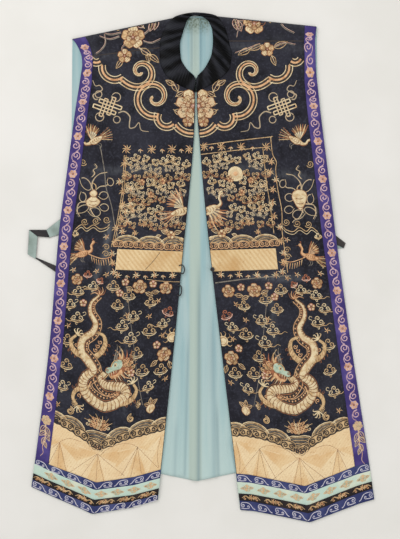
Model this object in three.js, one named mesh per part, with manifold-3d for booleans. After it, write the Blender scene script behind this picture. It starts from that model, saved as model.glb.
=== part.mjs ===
import * as THREE from "three";
import Module from "manifold-3d";

const wasm = await Module();
wasm.setup();

// Lengths are millimetres. X runs across the garment, Y from its hem to its shoulder fold
// and Z up from the table on which it lies, front side up.

// Thickness of the cloths and the air between pieces that lie on each other.
const CLOTH = 1.6;
const LINING = 1.0;
const TRIM = 1.0;
const GAP = 0.3;

// Heights of the layers above the one below them.
const BACK_LINING_BASE = CLOTH + GAP;
const UPPER_BASE = BACK_LINING_BASE + LINING + GAP;
const FRONT_RISE = LINING + GAP;
const TRIM_RISE = FRONT_RISE + CLOTH + GAP;
const FRONT_TOP = UPPER_BASE + FRONT_RISE + CLOTH;

// A table with named columns: one object for each row.
const table = (columns, rows) =>
  rows.map((row) => Object.fromEntries(columns.map((name, i) => [name, row[i]])));

// Edges of the two fronts with the yokes above them. "along" is the distance below the shoulder
// seam, so the rows above the seam, up to the shoulder fold, are negative.
const EDGE_COLUMNS = ["along", "innerX", "innerY", "outerX", "outerY"];
const LEFT_EDGES = table(EDGE_COLUMNS, [
  [-64, -28, 544, -276.5, 492],
  [-51, -30, 530, -268, 481],
  [-26, -39, 504, -260, 465],
  [0, -45, 478, -256, 452],
  [26, -43, 450, -255, 435],
  [48, -32, 429, -258, 414],
  [71, -12, 407, -261, 394],
  [142, -12.5, 336, -269, 344],
  [203, -15, 275, -277, 286],
  [300, -23, 178, -290, 189],
  [409, -34, 70, -304, 85],
  [648, -57, -167, -324, -150],
  [876, -81, -394, -351, -373],
  [985, -93, -502, -365, -474],
]);
const RIGHT_EDGES = table(EDGE_COLUMNS, [
  [-57, 5, 544, 249.5, 519],
  [-43, 16, 530, 248, 507],
  [-22, 25, 509, 247, 497],
  [0, 27, 487, 246, 487],
  [26, 25, 461, 247, 455],
  [48, 15, 435, 248, 424],
  [71, -9, 407, 251, 395],
  [142, -8, 336, 257, 340],
  [203, -3, 273, 264, 282],
  [300, 5, 175, 276, 185],
  [409, 16, 65, 289, 79],
  [648, 44, -176, 323, -161],
  [876, 72, -409, 358, -390],
  [985, 86, -524, 374, -501],
]);

// How far each hem hangs below the straight line between its corners: a shallow point.
const DIP_COLUMNS = ["across", "dip"];
const LEFT_DIP = table(DIP_COLUMNS, [
  [0, 0],
  [0.21, 23],
  [0.42, 38],
  [0.52, 45],
  [0.62, 35],
  [0.81, 18],
  [1, 0],
]);
const RIGHT_DIP = table(DIP_COLUMNS, [
  [0, 0],
  [0.1, 4.5],
  [0.32, 22],
  [0.52, 38.5],
  [0.72, 21],
  [0.897, 6],
  [1, 0],
]);

// Upper edges of the four hem bands, measured up from the hem at the inner corner, the point
// and the outer corner.
const BAND_COLUMNS = ["across", "waveUpper", "pale", "dark", "waveLower", "hem"];
const LEFT_BANDS = table(BAND_COLUMNS, [
  [0, 66, 48, 26, 11, 0],
  [0.52, 71, 54, 32, 17, 0],
  [1, 65, 54, 32, 17, 0],
]);
const RIGHT_BANDS = table(BAND_COLUMNS, [
  [0, 74, 58, 34.5, 19.5, 0],
  [0.52, 74.5, 59.5, 35.5, 18.5, 0],
  [1, 78, 60.5, 38, 22.5, 0],
]);

// Columns of the grid that every layer of a front shares; the last is the width of the side band.
const ACROSS = [0, 0.1, 0.21, 0.32, 0.42, 0.52, 0.62, 0.72, 0.81, 0.897, 1];
const SIDE_BAND_FROM = 9;
const YOKE_ROWS = 4;
const NECK_ROWS = 6;
const NECK_END = 71;
const BODY_ROWS = 24;
const BODY_END = YOKE_ROWS + NECK_ROWS + BODY_ROWS;
const DIP_FROM = 560;
const DIP_FULL = 850;

// Back panel.
const BACK_HEM = table(["x", "y"], [[-283, -407], [-86, -446], [-8.6, -462], [75.6, -444], [257, -405]]);
const BACK_LEFT_TOP = -275;
const BACK_RIGHT_TOP = 247;
const BACK_ROWS = 9;
const NECK_CELLS = 2;
const ROLL_ROWS = 6;
const ROLL_RADIUS = (FRONT_TOP - CLOTH) / 2;

// Beyond the back panel the fronts sink to the table over this distance.
const SINK_FROM = 30;
const SINK_TO = 76;

// Soft swells of the fronts, each a pair of slow waves, and their one pressed crease.
const SWELL = 2.2;
const SWELL_WAVES = table(["acrossLength", "alongLength", "shift"], [[57, 83, 0], [-140, 61, 1]]);
const CREASE = 1.3;
const CREASE_Y = -23;
const CREASE_WIDTH = 26;
const CALM_NEAR_FOLD = 170;
const CALM_END = 320;

// Lengthwise folds of the back lining in the open front: where each starts and ends in Y, its X at
// both places, its width and its height.
const LINING_FOLDS = table(["topY", "topX", "lowY", "lowX", "width", "height"], [
  [80, -14, -480, -16, 9, 5],
  [-90, -32, -390, -40, 6, 3.4],
  [-20, 8, -480, 14, 13, 3],
  [-260, 27, -480, 32, 6, 3.2],
  [-350, 50, -470, 74, 7, 4],
  [-300, -62, -470, -68, 9, 2.4],
]);
const LINING_FOLD_START = 0.3;
const LINING_CLEAR = { from: 9, full: 20 };

// The back lining: its columns across, close together in the open front, and how far it stays inside
// the back panel and the shoulder fold.
const LINING_OPEN = { from: -84, to: 79, step: 6.5 };
const LINING_OUTSIDE = { left: [-282, -180], right: [165, 256] };
const LINING_INSET = 1.5;
const LINING_FOLD_INSET = 7;
const LINING_ROWS = 24;

// How far the linings and side bands of the fronts stay inside them.
const LINING_START = 5;
const LINING_SIDE_INSET = 2;
const SIDE_BAND_START = 2;
const LINING_SHOW = 3;

// Collar: inner and outer edge, from the left of the centre front round the back neck.
const COLLAR_EDGES = table(["turn", "innerX", "innerY", "outerX", "outerY"], [
  [0, -11.2, 407, -11.2, 377],
  [1, -32, 429, -50, 394],
  [2, -43, 450, -78, 418],
  [3, -45, 478, -88, 448],
  [4, -39, 504, -88, 482],
  [5, -30, 530, -76, 517],
  [6, -21, 540, -52, 541],
  [7, -11, 541.5, -11, 548.5],
  [8, 1, 540, 30, 543],
  [9, 16, 530, 51, 518],
  [10, 25, 509, 61, 484],
  [11, 26.5, 487, 66, 458],
  [12, 24, 461, 62, 430],
  [13, 13, 435, 40, 405],
  [14, -9.2, 407, -9.2, 377],
]);
const COLLAR_CLOTH = 1.5;
const COLLAR_STEPS = 144;
const COLLAR_CELLS = 6;
const COLLAR_ARCH = 3.6;
const COLLAR_ARCH_POWER = 0.7;
const COLLAR_GATHER_DEPTH = 2.2;
const COLLAR_GATHERS = table(["count", "slant", "share"], [[37, 2.2, 0.65], [13.69, 4, 0.35]]);

// Ties: each run of the ribbon is a four-cornered piece on its own layer, and a hinge joins it to
// the next. Both ends are tucked under the lining of a front, the upper one at the anchor.
const RIBBON = 0.8;
const RIBBON_LAYER = RIBBON + GAP;
const HINGE_SHARE = 0.08;
const TIE_SLACK = 0.9;
const LEFT_TIE = {
  anchor: [-290, 0],
  runs: [
    { layer: 0, corners: [[-287, 116], [-287, 76], [-326, 64], [-333, 80]] },
    { layer: 1, corners: [[-325, 63], [-322, 79], [-370, 80], [-369, 63]] },
    { layer: 2, corners: [[-373, 79], [-352, 79], [-352, 24], [-373, 28]] },
    { layer: 1, corners: [[-371, 33], [-360, 14], [-287, -28], [-287, -8]] },
  ],
  hinges: [[[-333, 80], [-326, 64]], [[-370, 79], [-369, 63]], [[-371, 32], [-362, 25]]],
};
const RIGHT_TIE = {
  anchor: [284, 74],
  runs: [
    { layer: 0, corners: [[262, 60], [262, 38], [306, 40], [312, 52]] },
    { layer: 1, corners: [[312, 50], [316, 72], [268, 86], [266, 62]] },
  ],
  hinges: [[[312, 51], [308, 45]]],
};

// Fastenings at the front edges.
const CORD_RADIUS = 1.3;
const CORD_SIDES = 8;
const CORD_STEPS = 16;
const KNOT = { x: 25, y: -5, radius: 5, flattening: 0.8, sides: 16, rings: 10 };
const FASTENING_RISE = 0.1;
const LEFT_LOOP = [[-47, 3], [-39, 4], [-35, -5], [-38, -14], [-47, -13]];
const LOWER_LOOP = [[-50, -40], [-43, -41], [-41, -51], [-44, -61], [-51, -61]];

const FINISHES = {
  ground: { colour: "#1c1c28", roughness: 0.7 },
  lining: { colour: "#9fc0c8", roughness: 0.6 },
  purple: { colour: "#4b3a80", roughness: 0.65 },
  wave: { colour: "#353f78", roughness: 0.65 },
  pale: { colour: "#b9cdbb", roughness: 0.65 },
  dark: { colour: "#2a2024", roughness: 0.65 },
  collar: { colour: "#17171a", roughness: 0.5 },
  tie: { colour: "#b8c6cc", roughness: 0.55 },
  cord: { colour: "#15151a", roughness: 0.6 },
};

const clamp = (value, low, high) => Math.min(Math.max(value, low), high);
const mix = (a, b, t) => a + (b - a) * t;

function smooth(value, low, high) {
  const t = clamp((value - low) / (high - low), 0, 1);
  return t * t * (3 - 2 * t);
}

// The value of a table's column at a place along its key, on a smooth curve that never passes
// beyond its rows.
function valueAt(rows, key, column, at) {
  const last = rows.length - 1;
  const next = rows.findIndex((row) => row[key] > at);
  const i = next < 0 ? last - 1 : Math.max(next - 1, 0);
  const rate = (k) => (rows[k + 1][column] - rows[k][column]) / (rows[k + 1][key] - rows[k][key]);
  const slopeAt = (k) => {
    if (k === 0) return rate(0);
    if (k === last) return rate(last - 1);
    const [before, after] = [rate(k - 1), rate(k)];
    return before * after > 0 ? (2 * before * after) / (before + after) : 0;
  };
  const [a, b] = [rows[i], rows[i + 1]];
  const span = b[key] - a[key];
  const t = clamp((at - a[key]) / span, 0, 1);
  const t2 = t * t;
  const t3 = t2 * t;
  return (
    a[column] * (2 * t3 - 3 * t2 + 1) +
    slopeAt(i) * span * (t3 - 2 * t2 + t) +
    b[column] * (3 * t2 - 2 * t3) +
    slopeAt(i + 1) * span * (t3 - t2)
  );
}

// The value on straight lines between the rows.
function lineAt(rows, key, column, at) {
  const next = rows.findIndex((row) => row[key] > at);
  const i = next < 0 ? rows.length - 2 : Math.max(next - 1, 0);
  const t = clamp((at - rows[i][key]) / (rows[i + 1][key] - rows[i][key]), 0, 1);
  return mix(rows[i][column], rows[i + 1][column], t);
}

const LEFT = { edges: LEFT_EDGES, dip: LEFT_DIP, bands: LEFT_BANDS };
const RIGHT = { edges: RIGHT_EDGES, dip: RIGHT_DIP, bands: RIGHT_BANDS };
for (const side of [LEFT, RIGHT]) {
  side.fold = side.edges[0].along;
  side.hem = side.edges[side.edges.length - 1].along;
}

// Y of the shoulder fold over a place across the garment.
function foldY(x) {
  const left = LEFT.edges[0];
  const right = RIGHT.edges[0];
  const rows = [
    { x: left.outerX, y: left.outerY },
    { x: left.innerX, y: left.innerY },
    { x: right.innerX, y: right.innerY },
    { x: right.outerX, y: right.outerY },
  ];
  return lineAt(rows, "x", "y", x);
}

// How far a place lies outside the back panel.
function beyondBack(x, y) {
  const t = clamp((y - BACK_HEM[0].y) / (foldY(x) - BACK_HEM[0].y), 0, 1);
  const left = mix(BACK_HEM[0].x, BACK_LEFT_TOP, t);
  const right = mix(BACK_HEM[4].x, BACK_RIGHT_TOP, t);
  return Math.max(left - x, x - right, lineAt(BACK_HEM, "x", "y", x) - y);
}

// Height of the underside of the lowest cloth of the fronts.
function bedHeight(x, y) {
  const onBack = 1 - smooth(beyondBack(x, y), SINK_FROM, SINK_TO);
  const calm = smooth(foldY(x) - y, CALM_NEAR_FOLD, CALM_END);
  const swell = SWELL_WAVES.reduce((product, wave) => {
    const phase = x / wave.acrossLength + y / wave.alongLength + wave.shift;
    return product * (0.5 + 0.5 * Math.sin(phase));
  }, 1);
  const crease = CREASE * Math.exp(-Math.abs(y - CREASE_Y) / CREASE_WIDTH);
  return UPPER_BASE * onBack + calm * onBack * (SWELL * swell + crease);
}

// A point of a front or its yoke: "across" from the inner edge to the outer, "along" from the seam.
function frontPoint(side, across, along) {
  const column = (name) => valueAt(side.edges, "along", name, along);
  const x = mix(column("innerX"), column("outerX"), across);
  const y = mix(column("innerY"), column("outerY"), across);
  const dip = lineAt(side.dip, "across", "dip", across) * smooth(along, DIP_FROM, DIP_FULL);
  return { x, y: y - dip };
}

// Distance below the seam of each line of the shared grid: yoke, neck, body and the hem bands.
function gridAlong(side, line, across) {
  const bandTop = side.hem - lineAt(side.bands, "across", "waveUpper", across);
  if (line <= YOKE_ROWS) return side.fold * (1 - line / YOKE_ROWS);
  if (line <= YOKE_ROWS + NECK_ROWS) return (NECK_END * (line - YOKE_ROWS)) / NECK_ROWS;
  if (line <= BODY_END) {
    return mix(NECK_END, bandTop, (line - YOKE_ROWS - NECK_ROWS) / BODY_ROWS);
  }
  const name = BAND_COLUMNS[1 + line - BODY_END];
  return side.hem - lineAt(side.bands, "across", name, across);
}

// Closes a grid of upper and lower points into one solid. "keep" says which cells it has.
function clothSolid(columns, rows, upper, lower, keep = () => true) {
  const positions = [];
  for (const face of [upper, lower]) {
    for (let j = 0; j <= rows; j += 1) {
      for (let i = 0; i <= columns; i += 1) positions.push(...face(i, j));
    }
  }
  const at = (face, i, j) => (face * (rows + 1) + j) * (columns + 1) + i;
  const has = (i, j) => i >= 0 && i < columns && j >= 0 && j < rows && keep(i, j);
  const triangles = [];
  const quad = (a, b, c, d) => triangles.push(a, b, c, a, c, d);
  for (let j = 0; j < rows; j += 1) {
    for (let i = 0; i < columns; i += 1) {
      if (!has(i, j)) continue;
      quad(at(0, i, j), at(0, i + 1, j), at(0, i + 1, j + 1), at(0, i, j + 1));
      quad(at(1, i, j), at(1, i, j + 1), at(1, i + 1, j + 1), at(1, i + 1, j));
      const corners = [[i, j], [i + 1, j], [i + 1, j + 1], [i, j + 1]];
      const beside = [[i, j - 1], [i + 1, j], [i, j + 1], [i - 1, j]];
      corners.forEach((from, k) => {
        const to = corners[(k + 1) % 4];
        if (!has(...beside[k])) quad(at(0, ...to), at(0, ...from), at(1, ...from), at(1, ...to));
      });
    }
  }
  return closedGeometry(positions, triangles);
}

// A geometry from points and triangles, turned so that its faces point out.
function closedGeometry(positions, triangles) {
  const point = (i) => new THREE.Vector3().fromArray(positions, 3 * i);
  let volume = 0;
  for (let k = 0; k < triangles.length; k += 3) {
    volume += point(triangles[k]).dot(point(triangles[k + 1]).cross(point(triangles[k + 2])));
  }
  if (volume < 0) {
    for (let k = 0; k < triangles.length; k += 3) {
      [triangles[k + 1], triangles[k + 2]] = [triangles[k + 2], triangles[k + 1]];
    }
  }
  return new THREE.BufferGeometry()
    .setAttribute("position", new THREE.Float32BufferAttribute(positions, 3))
    .setIndex(triangles);
}

// A layer of a front between two lines and two columns of the shared grid. "inset" draws its edges
// in: start and end along the front, inner and outer across it.
function frontLayer(side, { lines, columns, rise, thick, inset }) {
  const [firstLine, lastLine] = lines;
  const [firstColumn, lastColumn] = columns;
  const point = (i, j, lift) => {
    const line = firstLine + j;
    const column = firstColumn + i;
    let along = gridAlong(side, line, ACROSS[column]);
    if (line === firstLine) along += inset.start;
    if (line === lastLine) along -= inset.end;
    const edges = ["inner", "outer"].map((name) => [`${name}X`, `${name}Y`]);
    const [inner, outer] = edges.map((pair) => pair.map((c) => valueAt(side.edges, "along", c, along)));
    const width = Math.hypot(outer[0] - inner[0], outer[1] - inner[1]);
    let across = ACROSS[column];
    if (column === firstColumn) across += inset.inner / width;
    if (column === lastColumn) across -= inset.outer / width;
    const { x, y } = frontPoint(side, across, along);
    return [x, y, bedHeight(x, y) + rise + lift];
  };
  return clothSolid(
    lastColumn - firstColumn,
    lastLine - firstLine,
    (i, j) => point(i, j, thick),
    (i, j) => point(i, j, 0),
  );
}

const LAST_COLUMN = ACROSS.length - 1;
const HEM_LINE = BODY_END + 4;

function frontPanel(side) {
  return frontLayer(side, {
    lines: [YOKE_ROWS, HEM_LINE],
    columns: [0, LAST_COLUMN],
    rise: FRONT_RISE,
    thick: CLOTH,
    inset: { start: GAP / 2, end: 0, inner: 0, outer: 0 },
  });
}

// The lining of a front reaches up under its yoke. "show" is how far it hangs out below the hem.
function frontLining(side, show) {
  return frontLayer(side, {
    lines: [0, HEM_LINE],
    columns: [0, LAST_COLUMN],
    rise: 0,
    thick: LINING,
    inset: { start: LINING_START, end: -show, inner: LINING_SIDE_INSET, outer: LINING_SIDE_INSET },
  });
}

function sideBand(side) {
  return frontLayer(side, {
    lines: [0, BODY_END],
    columns: [SIDE_BAND_FROM, LAST_COLUMN],
    rise: TRIM_RISE,
    thick: TRIM,
    inset: { start: SIDE_BAND_START, end: GAP, inner: 0, outer: 0 },
  });
}

function hemBand(side, row) {
  return frontLayer(side, {
    lines: [BODY_END + row, BODY_END + row + 1],
    columns: [0, LAST_COLUMN],
    rise: TRIM_RISE,
    thick: TRIM,
    inset: { start: row ? GAP : 0, end: 0, inner: 0, outer: 0 },
  });
}

// Across the back, from the left edge to the right: the columns of both yokes with the neck between.
function backColumn(i) {
  const cells = ACROSS.length - 1;
  if (i <= cells) return { side: LEFT, across: ACROSS[cells - i] };
  if (i >= cells + NECK_CELLS) return { side: RIGHT, across: ACROSS[i - cells - NECK_CELLS] };
  return { side: null, share: (i - cells) / NECK_CELLS };
}

// A point of the shoulder fold line or a yoke over a column of the back.
function yokePoint(i, along) {
  const { side, across, share } = backColumn(i);
  if (side) return frontPoint(side, across, along(side));
  const left = frontPoint(LEFT, 0, along(LEFT));
  const right = frontPoint(RIGHT, 0, along(RIGHT));
  return { x: mix(left.x, right.x, share), y: mix(left.y, right.y, share) };
}

// The back panel lies flat, rolls over the shoulder fold and comes down as two yokes.
function backPanel() {
  const columns = 2 * (ACROSS.length - 1) + NECK_CELLS;
  const rows = BACK_ROWS + ROLL_ROWS + YOKE_ROWS;
  const middle = CLOTH / 2 + ROLL_RADIUS;
  const point = (i, j, out) => {
    const top = yokePoint(i, (side) => side.fold);
    const foldStart = top.y - ROLL_RADIUS - CLOTH / 2;
    if (j <= BACK_ROWS) {
      const hemX = mix(BACK_HEM[0].x, BACK_HEM[4].x, i / columns);
      const x = mix(hemX, top.x, j / BACK_ROWS);
      const y = mix(lineAt(BACK_HEM, "x", "y", hemX), foldStart, j / BACK_ROWS);
      return [x, y, CLOTH / 2 - out];
    }
    if (j <= BACK_ROWS + ROLL_ROWS) {
      const angle = Math.PI * ((j - BACK_ROWS) / ROLL_ROWS - 0.5);
      const radius = ROLL_RADIUS + out;
      return [top.x, foldStart + radius * Math.cos(angle), middle + radius * Math.sin(angle)];
    }
    const line = j - BACK_ROWS - ROLL_ROWS;
    const last = line === YOKE_ROWS;
    const lie = yokePoint(i, (side) => side.fold * (1 - line / YOKE_ROWS) - (last ? GAP / 2 : 0));
    const z = bedHeight(lie.x, lie.y) + FRONT_RISE + CLOTH / 2 + out;
    return [lie.x, lie.y, z];
  };
  const neckFrom = ACROSS.length - 1;
  const keep = (i, j) => j < BACK_ROWS || i < neckFrom || i >= neckFrom + NECK_CELLS;
  return clothSolid(
    columns,
    rows,
    (i, j) => point(i, j, CLOTH / 2),
    (i, j) => point(i, j, -CLOTH / 2),
    keep,
  );
}

// Open distance from a place to the nearer front edge; negative under a front.
function openDistance(x, y) {
  const edge = (side) => {
    const rows = side.edges.map((row) => ({ down: -row.innerY, x: row.innerX }));
    return lineAt(rows, "down", "x", -y);
  };
  return Math.min(x - edge(LEFT), edge(RIGHT) - x);
}

// Height that the lengthwise folds add to the back lining.
function liningFolds(x, y) {
  const room = smooth(openDistance(x, y), LINING_CLEAR.from, LINING_CLEAR.full);
  return room * LINING_FOLDS.reduce((sum, fold) => {
    const t = (fold.topY - y) / (fold.topY - fold.lowY);
    if (t <= 0) return sum;
    const off = (x - mix(fold.topX, fold.lowX, t)) / fold.width;
    return sum + fold.height * smooth(t, 0, LINING_FOLD_START) * Math.exp(-off * off);
  }, 0);
}

// Columns of the back lining: close together where its folds show, wide under the fronts.
function liningColumns() {
  const { from, to, step } = LINING_OPEN;
  const count = Math.round((to - from) / step);
  const inside = Array.from({ length: count + 1 }, (_, i) => mix(from, to, i / count));
  return [...LINING_OUTSIDE.left, ...inside, ...LINING_OUTSIDE.right];
}

// The back lining is a little smaller than the back and ends inside the shoulder fold.
function backLining() {
  const xs = liningColumns();
  const place = (i, j) => {
    const t = j / LINING_ROWS;
    const hemX = xs[i];
    const share = (hemX - xs[0]) / (xs[xs.length - 1] - xs[0]);
    const topX = mix(BACK_LEFT_TOP + LINING_INSET, BACK_RIGHT_TOP - LINING_INSET, share);
    const hemY = lineAt(BACK_HEM, "x", "y", hemX) + LINING_INSET;
    const x = mix(hemX, topX, t * Math.abs(2 * share - 1) ** 2);
    const y = mix(hemY, foldY(x) - LINING_FOLD_INSET, t);
    return [x, y, BACK_LINING_BASE + liningFolds(x, y)];
  };
  const upper = (i, j) => {
    const [x, y, z] = place(i, j);
    return [x, y, z + LINING];
  };
  return clothSolid(xs.length - 1, LINING_ROWS, upper, place);
}

// The collar is an arched, gathered ring lying round the neck.
function collar() {
  const turns = COLLAR_EDGES.length - 1;
  const point = (i, j, lift) => {
    const turn = (turns * j) / COLLAR_STEPS;
    const across = i / COLLAR_CELLS;
    const column = (name) => valueAt(COLLAR_EDGES, "turn", name, turn);
    const x = mix(column("innerX"), column("outerX"), across);
    const y = mix(column("innerY"), column("outerY"), across);
    const gather = COLLAR_GATHERS.reduce((sum, { count, slant, share }) => {
      const phase = (2 * Math.PI * count * turn) / turns + slant * across;
      return sum + share * (0.5 + 0.5 * Math.sin(phase));
    }, 0);
    const swell = Math.sin(Math.PI * across) ** COLLAR_ARCH_POWER;
    return [x, y, FRONT_TOP + GAP + swell * (COLLAR_ARCH + COLLAR_GATHER_DEPTH * gather) + lift];
  };
  return clothSolid(
    COLLAR_CELLS,
    COLLAR_STEPS,
    (i, j) => point(i, j, COLLAR_CLOTH),
    (i, j) => point(i, j, 0),
  );
}

// A manifold solid from a closed geometry, and the way back.
function toManifold(geometry) {
  return new wasm.Manifold(
    new wasm.Mesh({
      numProp: 3,
      vertProperties: geometry.getAttribute("position").array,
      triVerts: new Uint32Array(geometry.index.array),
    }),
  );
}

function fromManifold(solid) {
  const mesh = solid.getMesh();
  return new THREE.BufferGeometry()
    .setAttribute("position", new THREE.BufferAttribute(mesh.vertProperties, mesh.numProp))
    .setIndex(new THREE.BufferAttribute(mesh.triVerts, 1));
}

// A four-cornered slab from z "low" to "high".
function slab(corners, low, high) {
  const area = corners.reduce((sum, [x, y], i) => {
    const [nextX, nextY] = corners[(i + 1) % 4];
    return sum + x * nextY - nextX * y;
  }, 0);
  const round = area > 0 ? corners : [...corners].reverse();
  const positions = [high, low].flatMap((z) => round.flatMap(([x, y]) => [x, y, z]));
  const triangles = [0, 1, 2, 0, 2, 3, 4, 6, 5, 4, 7, 6];
  for (let i = 0; i < 4; i += 1) {
    const next = (i + 1) % 4;
    triangles.push(next, i, 4 + i, next, 4 + i, 4 + next);
  }
  return closedGeometry(positions, triangles);
}

// A ribbon folded over on itself, its runs joined at each turn.
function foldedRibbon({ anchor, runs, hinges }) {
  const base = bedHeight(...anchor) - TIE_SLACK - RIBBON_LAYER - RIBBON;
  const level = (i) => base + runs[i].layer * RIBBON_LAYER;
  const slabs = runs.map((run, i) => slab(run.corners, level(i), level(i) + RIBBON));
  const turns = hinges.map(([from, to], i) => {
    const middle = runs[i].corners.reduce(([sumX, sumY], [x, y]) => [sumX + x / 4, sumY + y / 4], [0, 0]);
    const draw = ([x, y]) => [mix(x, middle[0], HINGE_SHARE), mix(y, middle[1], HINGE_SHARE)];
    const low = Math.min(level(i), level(i + 1));
    const high = Math.max(level(i), level(i + 1)) + RIBBON;
    return slab([from, to, draw(to), draw(from)], low, high);
  });
  const solids = [...slabs, ...turns].map(toManifold);
  return fromManifold(solids.reduce((whole, next) => whole.add(next)));
}

// A round cord along a path, closed at both ends.
function cord(path, steps) {
  const curve = new THREE.CatmullRomCurve3(path.map(([x, y, z]) => new THREE.Vector3(x, y, z)));
  const frames = curve.computeFrenetFrames(steps, false);
  const positions = [];
  for (let j = 0; j <= steps; j += 1) {
    const centre = curve.getPoint(j / steps);
    for (let i = 0; i < CORD_SIDES; i += 1) {
      const angle = (2 * Math.PI * i) / CORD_SIDES;
      const ray = frames.normals[j].clone().multiplyScalar(Math.cos(angle) * CORD_RADIUS);
      ray.addScaledVector(frames.binormals[j], Math.sin(angle) * CORD_RADIUS);
      positions.push(...centre.clone().add(ray).toArray());
    }
  }
  const triangles = [];
  for (let j = 0; j < steps; j += 1) {
    for (let i = 0; i < CORD_SIDES; i += 1) {
      const next = (i + 1) % CORD_SIDES;
      const [a, b] = [j * CORD_SIDES, (j + 1) * CORD_SIDES];
      triangles.push(a + i, a + next, b + next, a + i, b + next, b + i);
    }
  }
  const end = steps * CORD_SIDES;
  for (let i = 1; i < CORD_SIDES - 1; i += 1) {
    triangles.push(0, i + 1, i, end, end + i, end + i + 1);
  }
  return closedGeometry(positions, triangles);
}

// A cord loop lying on the front.
function edgeLoop(points) {
  const rise = TRIM_RISE + CORD_RADIUS + FASTENING_RISE;
  const path = points.map(([x, y]) => [x, y, bedHeight(x, y) + rise]);
  return cord(path, CORD_STEPS);
}

// The ball of the fastening, a little flattened, lying on the right front edge.
function knot() {
  const ball = new THREE.SphereGeometry(KNOT.radius, KNOT.sides, KNOT.rings);
  ball.scale(1, 1, KNOT.flattening);
  const rise = TRIM_RISE + KNOT.radius * KNOT.flattening - FASTENING_RISE;
  const z = bedHeight(KNOT.x, KNOT.y) + rise;
  ball.translate(KNOT.x, KNOT.y, z);
  return ball;
}

function piece(name, geometry, { colour, roughness }) {
  const material = new THREE.MeshStandardMaterial({ color: colour, roughness, metalness: 0 });
  const mesh = new THREE.Mesh(geometry, material);
  mesh.name = name;
  return mesh;
}

function sidePieces(word, side, show) {
  const names = ["hem_wave_upper", "hem_pale", "hem_dark", "hem_wave_lower"];
  const finishes = [FINISHES.wave, FINISHES.pale, FINISHES.dark, FINISHES.wave];
  return [
    piece(`front_${word}`, frontPanel(side), FINISHES.ground),
    piece(`lining_${word}`, frontLining(side, show), FINISHES.lining),
    piece(`side_band_${word}`, sideBand(side), FINISHES.purple),
    ...names.map((name, row) => piece(`${name}_${word}`, hemBand(side, row), finishes[row])),
  ];
}

const surcoat = new THREE.Group();
surcoat.add(
  piece("back_panel", backPanel(), FINISHES.ground),
  piece("back_lining", backLining(), FINISHES.lining),
  ...sidePieces("left", LEFT, LINING_SHOW),
  ...sidePieces("right", RIGHT, -LINING_SHOW),
  piece("collar", collar(), FINISHES.collar),
  piece("tie_left", foldedRibbon(LEFT_TIE), FINISHES.tie),
  piece("tie_right", foldedRibbon(RIGHT_TIE), FINISHES.tie),
  piece("frog_loop", edgeLoop(LEFT_LOOP), FINISHES.cord),
  piece("cord_loop", edgeLoop(LOWER_LOOP), FINISHES.cord),
  piece("frog_knot", knot(), FINISHES.cord),
);

// The origin is on the table below the middle of the garment.
const extent = new THREE.Box3().setFromObject(surcoat);
const middle = extent.getCenter(new THREE.Vector3());
surcoat.position.set(-middle.x, -middle.y, -extent.min.z);

export default surcoat;
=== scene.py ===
import logging
import math
from dataclasses import dataclass, field
from enum import Enum
from typing import Any, Callable, Optional, Sequence, Union

import bpy
import bmesh
import numpy as np
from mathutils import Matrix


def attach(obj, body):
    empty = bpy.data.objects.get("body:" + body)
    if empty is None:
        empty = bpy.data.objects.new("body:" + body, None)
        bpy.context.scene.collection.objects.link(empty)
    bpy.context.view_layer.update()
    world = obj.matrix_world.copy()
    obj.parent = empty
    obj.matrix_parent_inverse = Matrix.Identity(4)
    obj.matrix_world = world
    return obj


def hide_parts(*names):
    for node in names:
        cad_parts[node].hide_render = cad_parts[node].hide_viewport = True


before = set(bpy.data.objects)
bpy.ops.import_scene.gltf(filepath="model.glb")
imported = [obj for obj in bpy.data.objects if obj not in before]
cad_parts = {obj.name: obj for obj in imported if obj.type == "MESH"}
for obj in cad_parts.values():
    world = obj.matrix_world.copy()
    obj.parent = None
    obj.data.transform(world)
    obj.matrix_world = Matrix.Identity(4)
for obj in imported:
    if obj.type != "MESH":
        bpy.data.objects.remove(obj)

LOG = logging.getLogger("surcoat")
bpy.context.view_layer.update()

# Sizes are millimetres on the cutting plan: X across the garment, Y from hem to shoulder fold,
# Z up from the table. SHIFT brings the plan to the frame's origin.
MM = 0.001
SHIFT = np.array([-0.5, 1.02, 0.0])
CENTRE_X = -11.0
FOLD_TOP_Y = 544.0

CLOTH = 1.6
LINING = 1.0
TRIM = 1.0
GAP = 0.3
BACK_LINING_BASE = CLOTH + GAP
UPPER_BASE = BACK_LINING_BASE + LINING + GAP
FRONT_RISE = LINING + GAP
TRIM_RISE = FRONT_RISE + CLOTH + GAP
FRONT_TOP = UPPER_BASE + FRONT_RISE + CLOTH

Array = np.ndarray
Points = Union[Array, Sequence[Sequence[float]]]


def smooth_step(value: Array, low: float, high: float) -> Array:
    """Ease from 0 to 1.

    Args:
        value: The numbers to ease.
        low: Where the result is 0.
        high: Where the result is 1.

    Returns:
        Numbers from 0 to 1.
    """
    t = np.clip((np.asarray(value, float) - low) / (high - low), 0.0, 1.0)
    return t * t * (3 - 2 * t)


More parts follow.
